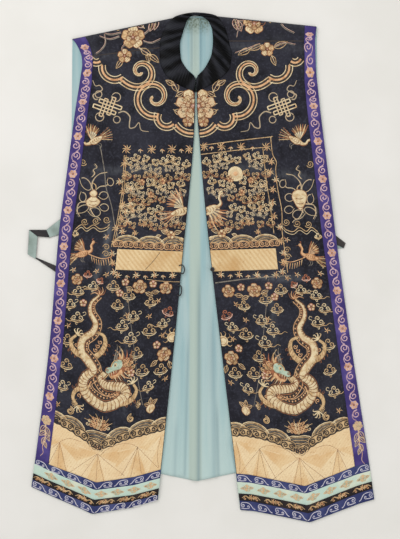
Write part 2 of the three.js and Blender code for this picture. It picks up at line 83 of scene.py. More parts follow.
class Track:
    """A smooth curve through rows of a table, which never passes beyond them."""

    def __init__(self, keys: Sequence[float], values: Sequence[float]) -> None:
        """Work out the slope at every row.

        Args:
            keys: Places along the curve, in rising order.
            values: The value at each place.
        """
        self.keys = np.asarray(keys, float)
        self.values = np.asarray(values, float)
        rate = np.diff(self.values) / np.diff(self.keys)
        before, after = rate[:-1], rate[1:]
        agree = before * after > 0
        total = np.where(agree, before + after, 1.0)
        inner = np.where(agree, 2 * before * after / total, 0.0)
        self.slopes = np.concatenate([[rate[0]], inner, [rate[-1]]])

    def __call__(self, at: Any) -> Array:
        """Read the curve at one or more places.

        Args:
            at: Places along the curve.

        Returns:
            Values there.
        """
        at = np.clip(np.asarray(at, float), self.keys[0], self.keys[-1])
        i = np.clip(np.searchsorted(self.keys, at, side="right") - 1, 0, len(self.keys) - 2)
        span = self.keys[i + 1] - self.keys[i]
        t = (at - self.keys[i]) / span
        t2, t3 = t * t, t * t * t
        return (
            self.values[i] * (2 * t3 - 3 * t2 + 1)
            + self.slopes[i] * span * (t3 - 2 * t2 + t)
            + self.values[i + 1] * (3 * t2 - 2 * t3)
            + self.slopes[i + 1] * span * (t3 - t2)
        )


# Distance below the shoulder seam, inner edge X and Y, outer edge X and Y. Rows above the seam
# belong to the yoke.
LEFT_EDGES = np.array([
    (-64, -28, 544, -276.5, 492),
    (-51, -30, 530, -268, 481),
    (-26, -39, 504, -260, 465),
    (0, -45, 478, -256, 452),
    (26, -43, 450, -255, 435),
    (48, -32, 429, -258, 414),
    (71, -12, 407, -261, 394),
    (142, -12.5, 336, -269, 344),
    (203, -15, 275, -277, 286),
    (300, -23, 178, -290, 189),
    (409, -34, 70, -304, 85),
    (648, -57, -167, -324, -150),
    (876, -81, -394, -351, -373),
    (985, -93, -502, -365, -474),
])
RIGHT_EDGES = np.array([
    (-57, 5, 544, 249.5, 519),
    (-43, 16, 530, 248, 507),
    (-22, 25, 509, 247, 497),
    (0, 27, 487, 246, 487),
    (26, 25, 461, 247, 455),
    (48, 15, 435, 248, 424),
    (71, -9, 407, 251, 395),
    (142, -8, 336, 257, 340),
    (203, -3, 273, 264, 282),
    (300, 5, 175, 276, 185),
    (409, 16, 65, 289, 79),
    (648, 44, -176, 323, -161),
    (876, 72, -409, 358, -390),
    (985, 86, -524, 374, -501),
])
# Share of the width, and how far the hem hangs below the line between its corners.
LEFT_DIP = np.array([(0, 0), (0.21, 23), (0.42, 38), (0.52, 45), (0.62, 35), (0.81, 18), (1, 0)])
RIGHT_DIP = np.array([(0, 0), (0.1, 4.5), (0.32, 22), (0.52, 38.5), (0.72, 21), (0.897, 6), (1, 0)])
# Share of the width, then heights above the hem of the tops of the four hem bands.
LEFT_BANDS = np.array([(0, 66, 48, 26, 11, 0), (0.52, 71, 54, 32, 17, 0), (1, 65, 54, 32, 17, 0)])
RIGHT_BANDS = np.array([
    (0, 74, 58, 34.5, 19.5, 0),
    (0.52, 74.5, 59.5, 35.5, 18.5, 0),
    (1, 78, 60.5, 38, 22.5, 0),
])
BACK_HEM = np.array([(-283, -407), (-86, -446), (-8.6, -462), (75.6, -444), (257, -405)])
BACK_TOP_X = (-275.0, 247.0)
DIP_FROM, DIP_FULL = 560.0, 850.0
SINK_FROM, SINK_TO = 30.0, 76.0
SWELL, CREASE, CREASE_Y, CREASE_WIDTH = 2.2, 1.3, -23.0, 26.0
CALM_NEAR_FOLD, CALM_END = 170.0, 320.0
SIDE_BAND_SHARE = 0.103
CREASE_WAVER, CREASE_ENDS = 1.6, (-4.0, 25.0)
RIPPLE = 0.18
FOLD_ROLL = (FRONT_TOP - CLOTH) / 2
FOLD_LINE = np.array([(-276.5, 492), (-28, 544), (5, 544), (249.5, 519)])


def fold_y(x: Array) -> Array:
    """Y of the shoulder fold over a place across the garment."""
    return np.interp(x, FOLD_LINE[:, 0], FOLD_LINE[:, 1])


def beyond_back(x: Array, y: Array) -> Array:
    """How far a place lies outside the back panel, in millimetres.

    Args:
        x: X of the places.
        y: Y of the places.

    Returns:
        Distances; negative inside.
    """
    t = np.clip((y - BACK_HEM[0, 1]) / (fold_y(x) - BACK_HEM[0, 1]), 0, 1)
    left = BACK_HEM[0, 0] + (BACK_TOP_X[0] - BACK_HEM[0, 0]) * t
    right = BACK_HEM[-1, 0] + (BACK_TOP_X[1] - BACK_HEM[-1, 0]) * t
    below = np.interp(x, BACK_HEM[:, 0], BACK_HEM[:, 1]) - y
    return np.maximum(np.maximum(left - x, x - right), below)


# Creases that the silk has kept: start and end X and Y, height and width.
CREASES = np.array([
    (-262, 448, -95, 468, 0.7, 7),
    (40, 478, 240, 470, 0.7, 7),
    (-205, 95, -192, -60, 0.5, 6),
    (-160, -30, -165, -330, 0.35, 6),
    (95, -22, 235, -26, 0.8, 5),
    (-240, 205, -60, 212, 0.5, 9),
    (60, 215, 250, 190, 0.5, 9),
    (150, -60, 175, -300, 0.4, 7),
])


# Creases that start above this Y, on the yokes, get less grey from rubbing and painted sheen.
SHOULDER_ROW, SHOULDER_RUB_AND_SHEEN = 430.0, 0.45
# Grey along the shoulder fold, part rubbing and part painted sheen: strength and width.
SEAM_RUB_AND_SHEEN, SEAM_RUB_AND_SHEEN_WIDTH = 0.25, 9.0

# Grey streaks without a kept crease, part rubbing and part painted sheen: start and end X and Y, strength and width.
STREAKS = np.array([
    (-195, 112, -204, 40, 0.9, 6),
    (-202, 52, -236, -62, 0.8, 6),
    (-262, 440, -215, 470, 0.5, 16),
    (62, 466, 190, 500, 0.35, 9),
])


def crease_share(x: Array, y: Array, row: Array) -> Array:
    """How strongly one kept crease shows at a place, from 0 to 1.

    Args:
        x: X of the places.
        y: Y of the places.
        row: One row of the table of creases.

    Returns:
        The share of the crease at each place.
    """
    ax, ay, bx, by, _, width = row
    dx, dy = bx - ax, by - ay
    length = math.hypot(dx, dy)
    along = ((x - ax) * dx + (y - ay) * dy) / length
    off = ((x - ax) * dy - (y - ay) * dx) / length + CREASE_WAVER * np.sin(along / 17)
    ends = smooth_step(along, *CREASE_ENDS) * smooth_step(length - along, *CREASE_ENDS)
    return ends * np.exp(-((off / width) ** 2))


def bed_height(x: Array, y: Array) -> Array:
    """Height of the underside of the lowest cloth of the fronts.

    Args:
        x: X of the places.
        y: Y of the places.

    Returns:
        Heights above the table, in millimetres.
    """
    on_back = 1 - smooth_step(beyond_back(x, y), SINK_FROM, SINK_TO)
    calm = smooth_step(fold_y(x) - y, CALM_NEAR_FOLD, CALM_END)
    swell = (0.5 + 0.5 * np.sin(x / 57 + y / 83)) * (0.5 + 0.5 * np.sin(y / 61 - x / 140 + 1))
    crease = CREASE * np.exp(-np.abs(y - CREASE_Y) / CREASE_WIDTH)
    kept = sum(row[4] * crease_share(x, y, row) for row in CREASES)
    fine = RIPPLE * (1 + np.sin(x / 11 + 2 * np.sin(y / 37)) * np.sin(y / 13 + 1.5 * np.sin(x / 29)))
    return UPPER_BASE * on_back + calm * on_back * (SWELL * swell + crease) + kept + fine


class Side(Enum):
    """Which front, seen from above with the hem towards the viewer."""

    LEFT = "left"
    RIGHT = "right"


@dataclass(frozen=True)
class FrontCut:
    """The cut of one front with its yoke: where its edges, hem and hem bands run."""

    side: Side
    edges: Array
    dip: Array
    bands: Array
    lining_show: float

    @property
    def sign(self) -> float:
        """-1 for the left front and 1 for the right one."""
        return -1.0 if self.side is Side.LEFT else 1.0

    @property
    def fold(self) -> float:
        """Place of the shoulder fold, as a negative distance below the seam."""
        return float(self.edges[0, 0])

    @property
    def hem(self) -> float:
        """Distance from the shoulder seam to the hem's corners."""
        return float(self.edges[-1, 0])

    def column(self, index: int, along: Array) -> Array:
        """Read one column of the table of edges at places along the front."""
        return Track(self.edges[:, 0], self.edges[:, index])(along)

    def width(self, along: Array) -> Array:
        """Width of the front at places along it.

        Args:
            along: Distances below the seam.

        Returns:
            Widths in millimetres.
        """
        return np.hypot(
            self.column(3, along) - self.column(1, along),
            self.column(4, along) - self.column(2, along),
        )

    def point(self, across: Array, along: Array) -> Array:
        """A place on the front.

        Args:
            across: Share of the width, from the inner edge to the outer.
            along: Distance below the shoulder seam.

        Returns:
            X and Y in the last axis.
        """
        across, along = np.broadcast_arrays(np.asarray(across, float), np.asarray(along, float))
        x = self.column(1, along) + (self.column(3, along) - self.column(1, along)) * across
        y = self.column(2, along) + (self.column(4, along) - self.column(2, along)) * across
        dip = np.interp(across, self.dip[:, 0], self.dip[:, 1])
        return np.stack([x, y - dip * smooth_step(along, DIP_FROM, DIP_FULL)], axis=-1)

    def band_top(self, across: Array, row: int) -> Array:
        """Distance below the seam of the upper edge of a hem band; row 4 is the hem."""
        return self.hem - np.interp(across, self.bands[:, 0], self.bands[:, 1 + row])

    def inner_x(self, y: Array) -> Array:
        """X of the inner edge, the neck's included, at a height Y on the plan."""
        return np.interp(-np.asarray(y), -self.edges[:, 2], self.edges[:, 1])

    def outer_x(self, y: Array, share: float = 1 - SIDE_BAND_SHARE) -> Array:
        """X of the line where the side band starts, or of another share, at a height Y on the plan.

        Args:
            y: Y of the places.
            share: Share of the width.

        Returns:
            X in millimetres.
        """
        rows = self.edges
        line = rows[:, 1:3] + (rows[:, 3:5] - rows[:, 1:3]) * share
        return np.interp(-np.asarray(y), -line[:, 1], line[:, 0])


LEFT = FrontCut(Side.LEFT, LEFT_EDGES, LEFT_DIP, LEFT_BANDS, 3.5)
RIGHT = FrontCut(Side.RIGHT, RIGHT_EDGES, RIGHT_DIP, RIGHT_BANDS, -3.0)


class Wire:
    """A number that changes over a surface: a socket that takes part in Python expressions."""

    def __init__(self, recipe: "Recipe", socket: Any) -> None:
        """Hold an output socket of a recipe's node."""
        self.recipe = recipe
        self.socket = socket

    def _maths(self, operation: str, *values: Any) -> "Wire":
        """Add a Math node for an operation on wires or plain numbers."""
        inputs = {str(i): value for i, value in enumerate(values)}
        return self.recipe.node("ShaderNodeMath", {"operation": operation}, **inputs)

    def __add__(self, other: Any) -> "Wire":
        """Sum."""
        return self._maths("ADD", self, other)

    __radd__ = __add__

    def __sub__(self, other: Any) -> "Wire":
        """Difference."""
        return self._maths("SUBTRACT", self, other)

    def __rsub__(self, other: Any) -> "Wire":
        """Difference from a plain number."""
        return self._maths("SUBTRACT", other, self)

    def __mul__(self, other: Any) -> "Wire":
        """Product."""
        return self._maths("MULTIPLY", self, other)

    __rmul__ = __mul__

    def sine(self) -> "Wire":
        """Sine of the number."""
        return self._maths("SINE", self)

    def eased(self, low: float, high: float) -> "Wire":
        """Ease from 0 at low to 1 at high.

        Args:
            low: Where the result is 0.
            high: Where the result is 1.

        Returns:
            Numbers from 0 to 1.
        """
        settings = {"interpolation_type": "SMOOTHSTEP"}
        return self.recipe.node(
            "ShaderNodeMapRange", settings, Value=self, **{"From Min": low, "From Max": high}
        )


Colour = tuple[float, float, float]


def colour(code: str) -> Colour:
    """The linear colour of a six-figure web code.

    Args:
        code: The code, with its leading sign.

    Returns:
        Red, green and blue from 0 to 1.
    """
    values = [int(code[i : i + 2], 16) / 255 for i in (1, 3, 5)]
    linear = [v / 12.92 if v <= 0.04045 else ((v + 0.055) / 1.055) ** 2.4 for v in values]
    return (linear[0], linear[1], linear[2])


class Recipe:
    """The node tree of one finish, built through a few short calls."""

    def __init__(self, name: str) -> None:
        """Start a material with an empty tree, a surface shader and the plan's coordinates.

        Args:
            name: Its name.
        """
        self.material = bpy.data.materials.new(name)
        self.material.use_nodes = True
        self.tree = self.material.node_tree
        self.tree.nodes.clear()
        self.output = self.tree.nodes.new("ShaderNodeOutputMaterial")
        self.place = self.node("ShaderNodeTexCoord", {}, out="Object")

    def node(self, kind: str, settings: dict[str, Any], out: Any = 0, **inputs: Any) -> Wire:
        """Add a node.

        Args:
            kind: Blender's type name of the node.
            settings: Properties that are set before the sockets.
            out: Name or number of the output that is returned.
            **inputs: Values or wires by socket name; a figure is a socket's number.

        Returns:
            The wire from the chosen output.
        """
        made = self.tree.nodes.new(kind)
        for key, value in settings.items():
            setattr(made, key, value)
        for key, value in inputs.items():
            socket = made.inputs[int(key)] if key.isdigit() else made.inputs[key]
            self._feed(socket, value)
        return Wire(self, made.outputs[out])

    def _feed(self, socket: Any, value: Any) -> None:
        """Link a wire to a socket, or set a plain value on it.

        Args:
            socket: The input socket.
            value: A wire, a number or a colour.
        """
        if isinstance(value, Wire):
            self.tree.links.new(value.socket, socket)
        elif isinstance(value, tuple) and len(value) == 3 and socket.type == "RGBA":
            socket.default_value = (*value, 1.0)
        else:
            socket.default_value = value

    def noise(self, scale: float, detail: float = 2.0, stretch: Optional[Colour] = None) -> Wire:
        """Noise over the plan, in cells of 1 / scale metres, stretched along the axes if asked.

        Args:
            scale: Cells in a metre.
            detail: Finer layers of noise.
            stretch: Factors on X, Y and Z, or None.

        Returns:
            The noise, from 0 to 1.
        """
        vector = self.place
        if stretch:
            vector = self.node("ShaderNodeVectorMath", {"operation": "MULTIPLY"}, **{"0": vector, "1": stretch})
        return self.node("ShaderNodeTexNoise", {}, Vector=vector, Scale=scale, Detail=detail)

    def axis(self, name: str) -> Wire:
        """One coordinate of the plan, in metres."""
        return self.node("ShaderNodeSeparateXYZ", {}, out=name, Vector=self.place)

    def attribute(self, name: str) -> Wire:
        """A number that the mesh carries at each point."""
        return self.node("ShaderNodeAttribute", {"attribute_name": name}, out="Fac")

    def mix(self, share: Any, first: Any, second: Any) -> Wire:
        """Blend two colours."""
        settings = {"data_type": "RGBA"}
        return self.node("ShaderNodeMix", settings, out=2, **{"0": share, "6": first, "7": second})

    def threads(self, pitch: float, angle: float = 0.0, warp: float = 0.0) -> Wire:
        """Parallel threads, from 0 in the grooves to 1 on the threads.

        Args:
            pitch: Distance between threads, in metres.
            angle: Direction across the threads, in degrees from +X.
            warp: How far noise pushes the threads, in metres.

        Returns:
            The height of the threads.
        """
        turn = math.radians(angle)
        along = self.axis("X") * math.cos(turn) + self.axis("Y") * math.sin(turn)
        if warp:
            along = along + self.noise(90, 1) * warp
        return (along * (2 * math.pi / pitch)).sine() * 0.5 + 0.5

    def finish(self, base: Any, roughness: Any, height: Any = None, relief: float = 0.3, **fixed: Any) -> Any:
        """Close the tree with a surface shader.

        Args:
            base: Colour of the surface.
            roughness: Roughness of the surface.
            height: Height of its fine relief, from 0 to 1, or None.
            relief: Depth of the fine relief, in millimetres.
            **fixed: Plain values for other sockets, with _ for a space.

        Returns:
            The finished material.
        """
        inputs = {key.replace("_", " "): value for key, value in fixed.items()}
        if height is not None:
            bump = self.node("ShaderNodeBump", {}, Height=height, Distance=relief * MM, Strength=0.7)
            inputs["Normal"] = bump
        inputs["Base Color"] = base
        shader = self.node("ShaderNodeBsdfPrincipled", {}, Roughness=roughness, **inputs)
        self.tree.links.new(shader.socket, self.output.inputs["Surface"])
        return self.material


class Finish:
    """A finish knows its name and how to make its material once."""

    name: str = "finish"

    def make(self) -> Any:
        """Build the material."""
        raise NotImplementedError

    def material(self) -> Any:
        """The finish's material, built on first use."""
        return bpy.data.materials.get(self.name) or self.make()


@dataclass(frozen=True)
class GroundSilk(Finish):
    """Near-black navy satin with a fine weave, grey along creases from rubbing and painted sheen."""

    name: str = "ground_silk"
    base: str = "#1a1920"
    bloom: str = "#30303a"
    rubbed: str = "#62656b"

    def make(self) -> Any:
        """Build the satin.

        Returns:
            The material.
        """
        r = Recipe(self.name)
        cloud = r.noise(9, 4)
        blotch = r.noise(38, 3)
        tint = r.mix(cloud.eased(0.35, 0.75), colour(self.base), colour(self.bloom))
        tint = r.mix(blotch.eased(0.5, 0.75) * 0.7, tint, colour("#0b0a0d"))
        tint = r.mix(r.noise(240, 3).eased(0.48, 0.72) * 0.45, tint, colour("#454753"))
        # Grey along creases, streaks and the shoulder fold: part rubbing, part painted sheen.
        rub = r.attribute("rub") * r.noise(160, 3, (1.0, 0.35, 1.0)).eased(0.25, 0.6) * 0.75
        tint = r.mix(rub, tint, colour(self.rubbed))
        weave = r.threads(0.0011) * 0.5 + r.threads(0.0014, 90) * 0.5
        tint = r.mix(weave * 0.14, tint, colour("#363743"))
        height = weave * 0.6 + r.noise(420, 3) * 0.5
        return r.finish(tint, cloud * 0.25 + 0.42, height, 0.25, Sheen_Weight=0.01, Specular_IOR_Level=0.1)


@dataclass(frozen=True)
class LiningSilk(Finish):
    """Pale blue plain silk, faded to green grey along the centre back."""

    name: str = "lining_silk"
    base: str = "#93b4b9"
    pale: str = "#a9c0c1"
    faded: str = "#aebfb5"
    stain: str = "#505c48"

    def make(self) -> Any:
        """Build the silk.

        Returns:
            The material.
        """
        r = Recipe(self.name)
        streak = r.noise(70, 3, (1.0, 0.06, 1.0))
        tint = r.mix(streak.eased(0.35, 0.7), colour(self.base), colour(self.pale))
        low = 1 - r.axis("Y").eased(-0.5, -0.15)
        tint = r.mix(low * 0.7, tint, colour("#bdd2cd"))
        tint = r.mix(r.attribute("fade"), tint, colour(self.faded))
        # Painted shade in the troughs beside the folds, along two folds by the centre strip and in the neck.
        tint = r.mix(r.attribute("shade"), tint, colour("#4f7686"))
        spots = r.noise(240, 3).eased(0.42, 0.62)
        tint = r.mix(r.attribute("stain") * (spots * 0.55 + 0.45), tint, colour(self.stain))
        weave = r.threads(0.0009) * 0.5 + r.threads(0.0011, 90) * 0.5
        tint = r.mix(weave * 0.1, tint, colour("#d9e8ea"))
        height = weave * 0.6 + streak * 0.6
        return r.finish(tint, streak * 0.2 + 0.42, height, 0.2, Sheen_Weight=0.05, Specular_IOR_Level=0.25)


@dataclass(frozen=True)
class Ribbon(Finish):
    """Woven ribbon: cross ribs, a little fading and worn edges."""

    name: str = "ribbon"
    base: str = "#4a3a86"
    worn: str = "#6f62a8"
    rib: float = 0.0016

    def make(self) -> Any:
        """Build the ribbon.

        Returns:
            The material.
        """
        r = Recipe(self.name)
        fade = r.noise(28, 4)
        tint = r.mix(fade.eased(0.4, 0.75), colour(self.base), colour(self.worn))
        grain = r.noise(500, 2)
        ribs = r.threads(self.rib, 90)
        tint = r.mix((1 - ribs) * 0.22, tint, colour("#15131f"))
        tint = r.mix(grain.eased(0.55, 0.8) * 0.25, tint, colour(self.worn))
        height = ribs * 0.6 + grain * 0.5
        return r.finish(tint, fade * 0.2 + 0.5, height, 0.3, Sheen_Weight=0.05, Specular_IOR_Level=0.2)


@dataclass(frozen=True)
class CouchedThread(Finish):
    """Wrapped thread couched in pairs, from bright to tarnished."""

    name: str = "gold"
    bright: str = "#e7c795"
    dull: str = "#a07a4a"
    metal: float = 0.25
    roughness: float = 0.42

    def make(self) -> Any:
        """Build the thread.

        Returns:
            The material.
        """
        r = Recipe(self.name)
        worn = r.noise(120, 4)
        tint = r.mix(worn.eased(0.38, 0.72), colour(self.bright), colour(self.dull))
        twist = r.threads(0.0009, 35) * 0.5 + r.threads(0.0009, -35) * 0.5
        tint = r.mix((1 - twist) * 0.3, tint, colour("#3a2615"))
        spark = r.noise(900, 1)
        return r.finish(
            tint, spark * 0.3 + (self.roughness - 0.15), twist, 0.25, Metallic=self.metal, Specular_IOR_Level=0.6
        )


@dataclass(frozen=True)
class CouchedGround(Finish):
    """Flat ground of parallel couched threads, laid on the slant and tied down in rows."""

    name: str = "couched_ground"
    base: str = "#e9cf9f"
    shade: str = "#c89a5c"
    bright: str = "#f4dcae"
    angle: float = 38.0
    pitch: float = 0.0082
    row_depth: float = 0.45

    def make(self) -> Any:
        """Build the ground.

        Returns:
            The material.
        """
        r = Recipe(self.name)
        rows = r.threads(self.pitch, self.angle, 0.002)
        fine = r.threads(0.0013, self.angle)
        patch = r.noise(22, 4)
        tint = r.mix(patch.eased(0.35, 0.75) * 0.8, colour(self.base), colour(self.shade))
        # The facet number lightens the ground: broad sweeps on the badge's field, painted sheen on every other facet of
        # the hem's fans.
        tint = r.mix(r.attribute("facet") * 0.6, tint, colour(self.bright))
        tint = r.mix((1 - rows) * self.row_depth, tint, colour(self.shade))
        tint = r.mix(r.noise(260, 3).eased(0.55, 0.75) * 0.5, tint, colour("#b07c44"))
        tint = r.mix((1 - fine) * 0.22, tint, colour("#8f6a3d"))
        height = rows * 0.5 + fine * 0.5
        return r.finish(tint, patch * 0.2 + 0.4, height, 0.3, Metallic=0.12, Sheen_Weight=0.15)


@dataclass(frozen=True)
class CollarSatin(Finish):
    """Black satin, crumpled and a little worn, with painted shade in the troughs of its gathers and painted highlights
    on their crests.
    """

    name: str = "collar_satin"

    def make(self) -> Any:
        """Build the satin.

        Returns:
            The material.
        """
        r = Recipe(self.name)
        cloud = r.noise(60, 4)
        # Painted light: the crest number darkens the troughs of the gathers to near black and lightens their crests.
        tint = r.mix(r.attribute("crest").eased(0.15, 0.95), colour("#050506"), colour("#292a30"))
        tint = r.mix(cloud.eased(0.5, 0.7) * 0.5, tint, colour("#0a0a0c"))
        weave = r.threads(0.0008) * 0.5 + r.threads(0.0008, 90) * 0.5
        # Grey stripes at the left of the collar: part rubbing, part painted highlight.
        tint = r.mix(r.attribute("rub") * cloud, tint, colour("#54585e"))
        return r.finish(tint, cloud * 0.25 + 0.3, weave, 0.15, Sheen_Weight=0.0, Specular_IOR_Level=0.08)


@dataclass(frozen=True)
class BraidCord(Finish):
    """Tightly braided dark cord."""

    name: str = "braid_cord"

    def make(self) -> Any:
        """Build the cord.

        Returns:
            The material.
        """
        r = Recipe(self.name)
        braid = r.threads(0.0012, 45) * r.threads(0.0012, -45)
        tint = r.mix(braid, colour("#0b0b0f"), colour("#2b2a30"))
        return r.finish(tint, braid * 0.2 + 0.5, braid, 0.4, Sheen_Weight=0.2)


GROUND = GroundSilk()
LINING_SILK = LiningSilk()
PURPLE = Ribbon("side_ribbon", "#3f3274", "#5f5196")
WAVE_RIBBON = Ribbon("wave_ribbon", "#2d3566", "#4a5283")
PALE_RIBBON = Ribbon("pale_ribbon", "#c8e0d2", "#e6ead2", 0.0013)
DARK_RIBBON = Ribbon("dark_ribbon", "#1e1718", "#3d2f2b", 0.0013)
COLLAR_SATIN = CollarSatin()
TAPE_PALE = Ribbon("tape_pale", "#a9bbb5", "#88978f", 0.0012)
TAPE_DARK = Ribbon("tape_dark", "#2c2a2d", "#47423f", 0.0012)
CORD = BraidCord()
COUCHED = CouchedGround()
COUCHED_HEM = CouchedGround("couched_hem", "#efd2a2", "#d9a768", "#fbe9c2", -36.0, 0.0055, 0.2)


class Tone(Enum):
    """Threads of the embroidery, each with its finish."""

    GOLD = CouchedThread("thread_gold", "#e2bf8c", "#a57f4e")
    CREAM = CouchedThread("thread_cream", "#f3dfb4", "#cfa872", 0.1, 0.45)
    BROWN = CouchedThread("thread_brown", "#a8683a", "#5d3820", 0.15, 0.5)
    DARK = CouchedThread("thread_dark", "#2a1a12", "#120c09", 0.05, 0.6)
    GREY = CouchedThread("thread_grey", "#8f8678", "#5c564d", 0.2, 0.5)
    ROSE = CouchedThread("thread_rose", "#f0c9b4", "#c98f79", 0.1, 0.5)
    LILAC = CouchedThread("thread_lilac", "#e6e2ea", "#c0bdd4", 0.0, 0.5)
    AMBER = CouchedThread("thread_amber", "#efbd8a", "#c88b57", 0.12, 0.45)
    PEACH = CouchedThread("thread_peach", "#e8c79a", "#d9c7a0", 0.05, 0.55)
    MINT = CouchedThread("thread_mint", "#c9dcc4", "#9fb9a4", 0.05, 0.5)
    RUST = CouchedThread("thread_rust", "#b0633c", "#7a452c", 0.1, 0.5)
    PINK = CouchedThread("thread_pink", "#dfbcc8", "#b98d97", 0.05, 0.5)


@dataclass
class Cloth:
    """A closed wall of cloth over a grid of points, or a surface of threads."""

    verts: Array
    faces: list
    slots: Optional[Array] = None


def grid_faces(rows: int, columns: int, keep: Optional[Array] = None) -> Array:
    """Four-cornered faces of a grid.

    Args:
        rows: Rows of points.
        columns: Columns of points.
        keep: Which cells the grid has, or None for all.

    Returns:
        Four point numbers for each face.
    """
    i, j = np.meshgrid(np.arange(rows - 1), np.arange(columns - 1), indexing="ij")
    if keep is not None:
        i, j = i[keep], j[keep]
    a = (i * columns + j).ravel()
    return np.stack([a, a + 1, a + columns + 1, a + columns], axis=1)


# How far a cloth's rim stands out, as a share of its thickness.
RIM_BULGE = 0.4


def close_cloth(top: Array, low: Array, keep: Optional[Array] = None, flip: bool = False) -> Cloth:
    """Close an upper and a lower grid into a wall of cloth with a rounded rim.

    Args:
        top: Upper points, by row and column.
        low: Lower points, by row and column.
        keep: Which cells the cloth has, or None for all.
        flip: Whether the grid's own turn has to be reversed for faces to point out.

    Returns:
        The cloth; its slots are 0 above, 1 below and 1 on the rim.
    """
    rows, columns = top.shape[:2]
    count = rows * columns
    upper = grid_faces(rows, columns, keep)
    pairs = np.concatenate([upper[:, [k, (k + 1) % 4]] for k in range(4)])
    cells = np.tile(np.arange(len(upper)), 4)
    codes = pairs[:, 0] * count + pairs[:, 1]
    free = ~np.isin(codes, pairs[:, 1] * count + pairs[:, 0])
    pairs, cells = pairs[free], cells[free]
    flat_top, flat_low = top.reshape(-1, 3), low.reshape(-1, 3)
    centres = flat_top[upper].mean(axis=1)[cells]
    outward = np.zeros((count, 3))
    for k in (0, 1):
        np.add.at(outward, pairs[:, k], flat_top[pairs[:, k]] - centres)
    rim_ids = np.unique(pairs)
    length = np.linalg.norm(outward[rim_ids], axis=1, keepdims=True)
    wall = flat_top[rim_ids] - flat_low[rim_ids]
    depth = np.linalg.norm(wall, axis=1, keepdims=True)
    bulge = outward[rim_ids] / np.maximum(length, 1e-9) * depth * RIM_BULGE
    rim = (flat_top[rim_ids] + flat_low[rim_ids]) / 2 + bulge
    number = np.zeros(count, int)
    number[rim_ids] = 2 * count + np.arange(len(rim_ids))
    a, b = pairs[:, 0], pairs[:, 1]
    walls = np.concatenate([
        np.stack([b, a, number[a], number[b]], axis=1),
        np.stack([number[b], number[a], a + count, b + count], axis=1),
    ])
    faces = np.concatenate([upper, upper[:, ::-1] + count, walls])
    slots = np.concatenate([np.zeros(len(upper), int), np.ones(len(upper) + len(walls), int)])
    if flip:
        faces = faces[:, ::-1]
    return Cloth(np.concatenate([flat_top, flat_low, rim]), faces.tolist(), slots)


def carry(mesh: Any, name: str, values: Array) -> None:
    """Let a mesh carry one number at each point."""
    mesh.attributes.new(name, "FLOAT", "POINT").data.foreach_set("value", values.astype(np.float32))


def add_piece(
    name: str,
    cloth: Cloth,
    materials: Sequence[Any],
    nodes: Sequence[str] = (),
    paint: Optional[dict[str, Callable[[Array, Array], Array]]] = None,
) -> Any:
    """Make a Blender object that rides on the frame.

    Args:
        name: Name of the piece.
        cloth: Points in plan millimetres and faces.
        materials: Materials by slot number.
        nodes: Solids of the frame that the piece stands for.
        paint: Numbers that the mesh carries, by name, as functions of X and Y.

    Returns:
        The object.
    """
    mesh = bpy.data.meshes.new(name)
    mesh.from_pydata(((cloth.verts + SHIFT) * MM).tolist(), [], cloth.faces)
    mesh.polygons.foreach_set("use_smooth", [True] * len(mesh.polygons))
    for material in materials:
        mesh.materials.append(material)
    if cloth.slots is not None and len(materials) > 1:
        mesh.polygons.foreach_set("material_index", cloth.slots.tolist())
    for key, rule in (paint or {}).items():
        carry(mesh, key, np.clip(rule(cloth.verts[:, 0], cloth.verts[:, 1]), 0, 1))
    mesh.update()
    piece = bpy.data.objects.new(name, mesh)
    bpy.context.scene.collection.objects.link(piece)
    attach(piece, "root")
    if nodes:
        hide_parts(*nodes)
    LOG.info("%s: %d faces", name, len(mesh.polygons))
    return piece


def rub_marks(x: Array, y: Array) -> Array:
    """Where the dark silk turns grey, part rubbing and part painted sheen: along its creases and the shoulder seams.

    Args:
        x: X of the places.
        y: Y of the places.

    Returns:
        Strength of the rubbing and painted sheen, from 0.
    """
    rows = (*CREASES, *STREAKS)
    shares = [SHOULDER_RUB_AND_SHEEN if row[1] > SHOULDER_ROW else 1.0 for row in rows]
    marks = sum(row[4] * share * crease_share(x, y, row) for row, share in zip(rows, shares))
    return marks + SEAM_RUB_AND_SHEEN * np.exp(-((fold_y(x) - y) / SEAM_RUB_AND_SHEEN_WIDTH) ** 2)


